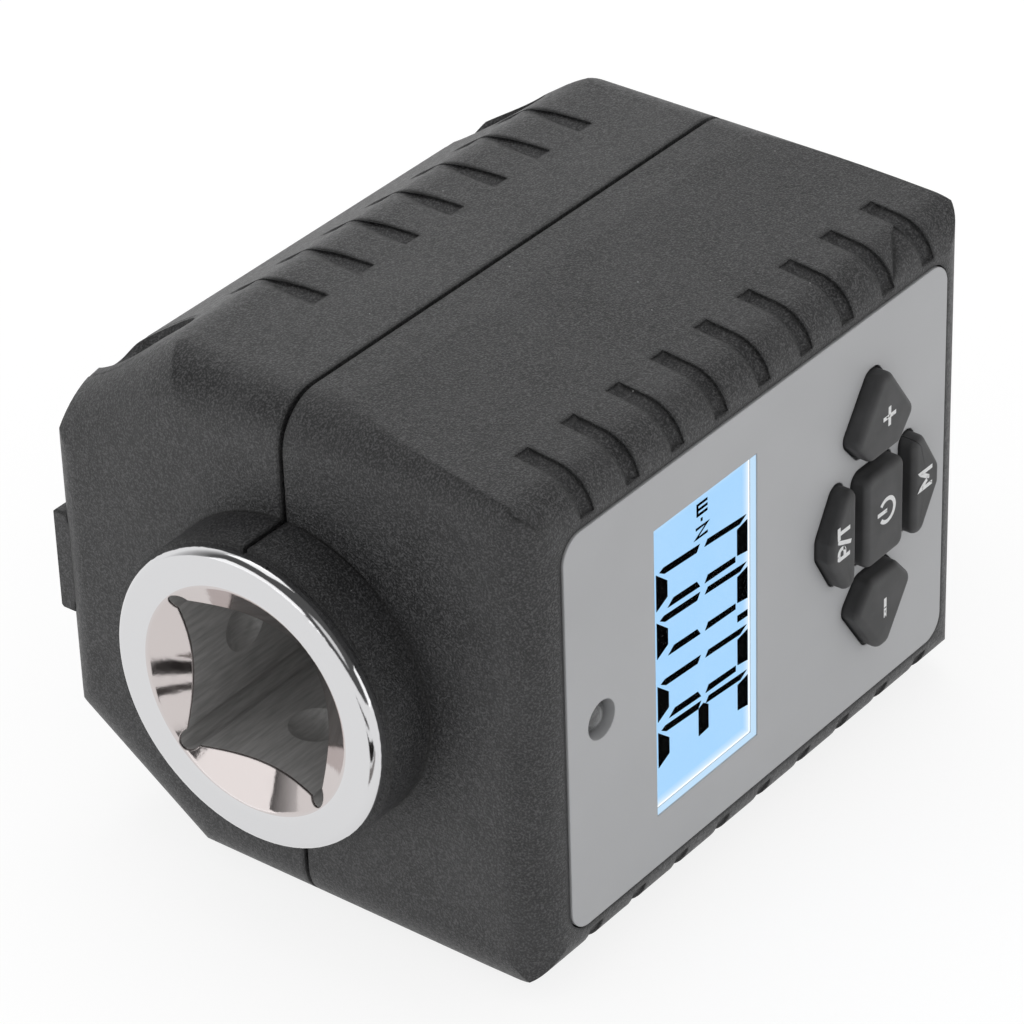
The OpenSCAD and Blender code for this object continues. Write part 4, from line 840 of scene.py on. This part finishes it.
ridge = np.array(RIDGE_CENTRE)
angle = np.linspace(0, math.pi / 2 - FLANK_TURN, 14)
outward = np.stack([np.sin(angle), np.cos(angle)], axis=1)
line = ridge + RIDGE_RADIUS * outward
down = np.array([math.cos(FLANK_TURN), -math.sin(FLANK_TURN)])
side_y = np.linspace(SLOT_START_Y - BED_OVERLAP, RIDGE_CENTRE[0], 14)[:-1]
tail = np.linspace(0, (SLOT_TAIL_Y - line[-1, 0]) / down[0], 6)[1:]
line = np.concatenate([np.stack([side_y, np.full(len(side_y), line[0, 1])], axis=1), line,
                       line[-1] + tail[:, None] * down])
outward = np.concatenate([np.repeat(outward[:1], len(side_y), axis=0), outward,
                          np.repeat(outward[-1:], len(tail), axis=0)])
along = travelled(line)
fade = np.clip((SLOT_REACH - along) / SLOT_REACH, 0, 1) ** SLOT_FADE
depth = SLOT_DEPTH * round_ended(along) * fade


def back_height(x, z):
    """Height of the back over (x, z): the lower of the crown, its rounded edge and the flank.

    The crown is CROWN_CENTRE + sqrt(CROWN_RADIUS ** 2 - z ** 2), and its edge a smaller such arc. The
    flank is (FLANK_REACH - inset - cos(FLANK_TURN) * z) / sin(FLANK_TURN)."""
    z = np.abs(z)
    near_end = np.minimum(x - END_FACES[0], END_FACES[1] - x)
    short = np.clip(FLANK_END_ROUND - near_end, 0, None)
    inset = FLANK_END_ROUND - np.sqrt(FLANK_END_ROUND ** 2 - short ** 2)
    flank = (FLANK_REACH - inset - math.cos(FLANK_TURN) * z) / math.sin(FLANK_TURN)
    crown = CROWN_CENTRE + np.sqrt(CROWN_RADIUS ** 2 - z ** 2)
    off = np.clip(z - CROWN_EDGE[1], -CROWN_EDGE_ROUND, CROWN_EDGE_ROUND)
    rounded_edge = CROWN_EDGE[0] + np.sqrt(CROWN_EDGE_ROUND ** 2 - off ** 2)
    on_round = (off > CROWN_EDGE_SPAN[0]) & (off < CROWN_EDGE_SPAN[1])
    return np.minimum(np.where(on_round, rounded_edge, crown), flank)


def recess_rim(x, side):
    """Closed hoop between the recess's wall and a smaller opening that is shifted towards the ridge."""
    turn = np.linspace(0, 2 * math.pi, RIM_STEPS, endpoint=False)[:, None]
    share = np.array([[0, 0, 0.25, 0.5, 0.75, 1, 1, 0]])
    reach = RIM_RADIUS + share * (RECESS_RADIUS + RIM_OVERLAP - RIM_RADIUS)
    px = x + reach * np.cos(turn)
    pz = side * (RECESS_Z + (1 - share) * RIM_SHIFT + reach * np.sin(turn))
    top = back_height(px, pz) - BED_SINK
    top[:, 0] -= RIM_ROUNDING
    top[:, 6:] = SEAT_Y
    count = px.shape[1]
    i, j = (g.ravel() for g in np.meshgrid(np.arange(RIM_STEPS), np.arange(count), indexing="ij"))
    a, b = (i + 1) % RIM_STEPS, (j + 1) % count
    faces = np.stack([i * count + j, i * count + b, a * count + b, a * count + j], axis=1)
    return np.stack([px, top, pz], axis=-1).reshape(-1, 3), faces.tolist()


slot_beds = piece("grip_slot_beds", [
    bed(line, outward, depth, SLOT_UNDER, SLOT_HALF_W + BED_OVERLAP, x, side)
    for x in SLOT_XS for side in (1, -1)], charcoal_rear, sharp=60)
recess_rims = piece("recess_rims", [recess_rim(x, side) for x in RECESS_XS for side in (1, -1)],
                    charcoal_rear, sharp=50)
for thing in (slot_beds, recess_rims):
    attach(thing, "unit")

# Battery contacts and leads
# Nickel plated spring steel strips in slots of the bay, and two insulated leads to the board.
nickel, tree, shader, point = finish_of("nickel_plate", (0.66, 0.63, 0.57), 0.24, {"Metallic": 1.0})
roughen(tree, shader, noise(tree, point, 0.4 * MM, 3.0), 0.015 * MM)
dress(nickel, "battery_terminals", "battery_link")
insulation, tree, shader, point = finish_of("red_insulation", (0.42, 0.02, 0.015), 0.42)
tree.links.new(mixed(tree, noise(tree, point, 1 * MM), (0.35, 0.015, 0.01), (0.5, 0.03, 0.02)),
               shader.inputs["Base Color"])
dress(insulation, "battery_leads")

# Battery cells
# Two AAA cells laid head to tail. Each is a steel can in a plain printed sleeve, with a crimped
# shoulder and a nub at its plus end and a bare flat end at the other.
CELL_RADIUS = 5.25 * MM
CELL_Z = 7.2 * MM
FLAT_END_GAP = 0.1 * MM
NUB_LENGTH = 0.8 * MM
CELL_FOOT = [(0, 0.80), (0.3, 0.84), (0.3, 0.93), (0.1, 0.955), (0.4, 0.985), (1, 1)]
CELL_SHOULDER = [(-1.2, 1), (-0.5, 0.985), (-0.1, 0.94), (-0.3, 0.88), (-0.3, 0.62), (-0.1, 0.40)]
CELL_NUB = [(-0.2, 0.35), (0, 0.31)]
CELL_STEPS = 72
SLEEVE_BAND = 9 * MM
SLEEVE_COLOUR, BAND_COLOUR, CAN_COLOUR = (0.035, 0.045, 0.07), (0.55, 0.33, 0.09), (0.62, 0.62, 0.62)
BARE_SHARE, BAND_METALLIC = 0.96, 0.8

cells_lo, cells_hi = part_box("battery_cells")
cell_y = (cells_lo.y + cells_hi.y) / 2


def cell_profile(length):
    """Radius against distance from the flat end: rolled foot, sleeve, crimp, shoulder and nub."""
    return [(start + along * MM, share * CELL_RADIUS)
            for start, part in ((0, CELL_FOOT), (length - NUB_LENGTH, CELL_SHOULDER), (length, CELL_NUB))
            for along, share in part]


def revolved(profile, start_x, sign, y, z):
    """Shell of a profile turned about a line along X, from start_x on towards sign."""
    angle = np.linspace(0, 2 * math.pi, CELL_STEPS, endpoint=False)
    along, radius = np.array(profile).T[..., None]
    x = np.broadcast_to(start_x + sign * along, (len(profile), CELL_STEPS))
    return skin(np.stack([x, y + radius * np.cos(angle), z + radius * np.sin(angle)], axis=-1))


sleeve, tree, shader, point = finish_of("cell_sleeve", (0.30, 0.32, 0.35), 0.3)
x, y, z = add(tree, "SeparateXYZ", {}, {0: point}).outputs
upper = calc(tree, "GREATER_THAN", z, 0.0)
from_left = calc(tree, "SUBTRACT", x, cells_lo.x)
from_right = calc(tree, "SUBTRACT", cells_hi.x, x)
from_nub = calc(tree, "ADD", calc(tree, "MULTIPLY", upper, from_left),
                calc(tree, "MULTIPLY", calc(tree, "SUBTRACT", 1.0, upper), from_right))
band = calc(tree, "LESS_THAN", from_nub, SLEEVE_BAND)
off_axis = calc(tree, "SUBTRACT", calc(tree, "ABSOLUTE", z), CELL_Z)
rise = calc(tree, "SUBTRACT", y, cell_y)
bare = calc(tree, "LESS_THAN", hypot(tree, off_axis, rise), BARE_SHARE * CELL_RADIUS)
printed = mixed(tree, band, SLEEVE_COLOUR, BAND_COLOUR)
tree.links.new(mixed(tree, bare, printed, CAN_COLOUR), shader.inputs["Base Color"])
shiny = calc(tree, "MAXIMUM", bare, calc(tree, "MULTIPLY", band, BAND_METALLIC))
tree.links.new(shiny, shader.inputs["Metallic"])
roughen(tree, shader, noise(tree, point, 0.8 * MM, 2.0), 0.008 * MM)
cell_length = cells_hi.x - cells_lo.x - FLAT_END_GAP
cells = piece("sleeved_cells", [
    revolved(cell_profile(cell_length), cells_lo.x + FLAT_END_GAP, 1, cell_y, -CELL_Z),
    revolved(cell_profile(cell_length), cells_hi.x - FLAT_END_GAP, -1, cell_y, CELL_Z)], sleeve)
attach(cells, "unit")
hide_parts("battery_cells")

# Battery cover
# A curved lid in the same plastic as the shells, with a raised thumb pad at its wrench end. It closes
# the battery bay and lifts off.
dress(moulded("charcoal_abs_cover", scaled(SHELL_COLOUR, 1.03), SHELL_LIGHT), "battery_cover")

# Screws
# Zinc plated cross-head screws: four hold the housing together and three hold the board.
zinc, tree, shader, point = finish_of("zinc_plate", (0.36, 0.36, 0.38), 0.35, {"Metallic": 1.0})
tree.links.new(mixed(tree, noise(tree, point, 0.9 * MM, 3.0), (0.28, 0.28, 0.3), (0.45, 0.45, 0.46)),
               shader.inputs["Base Color"])
roughen(tree, shader, noise(tree, point, 0.2 * MM, 2.0), 0.01 * MM)
dress(zinc, "housing_screws", "board_screws")
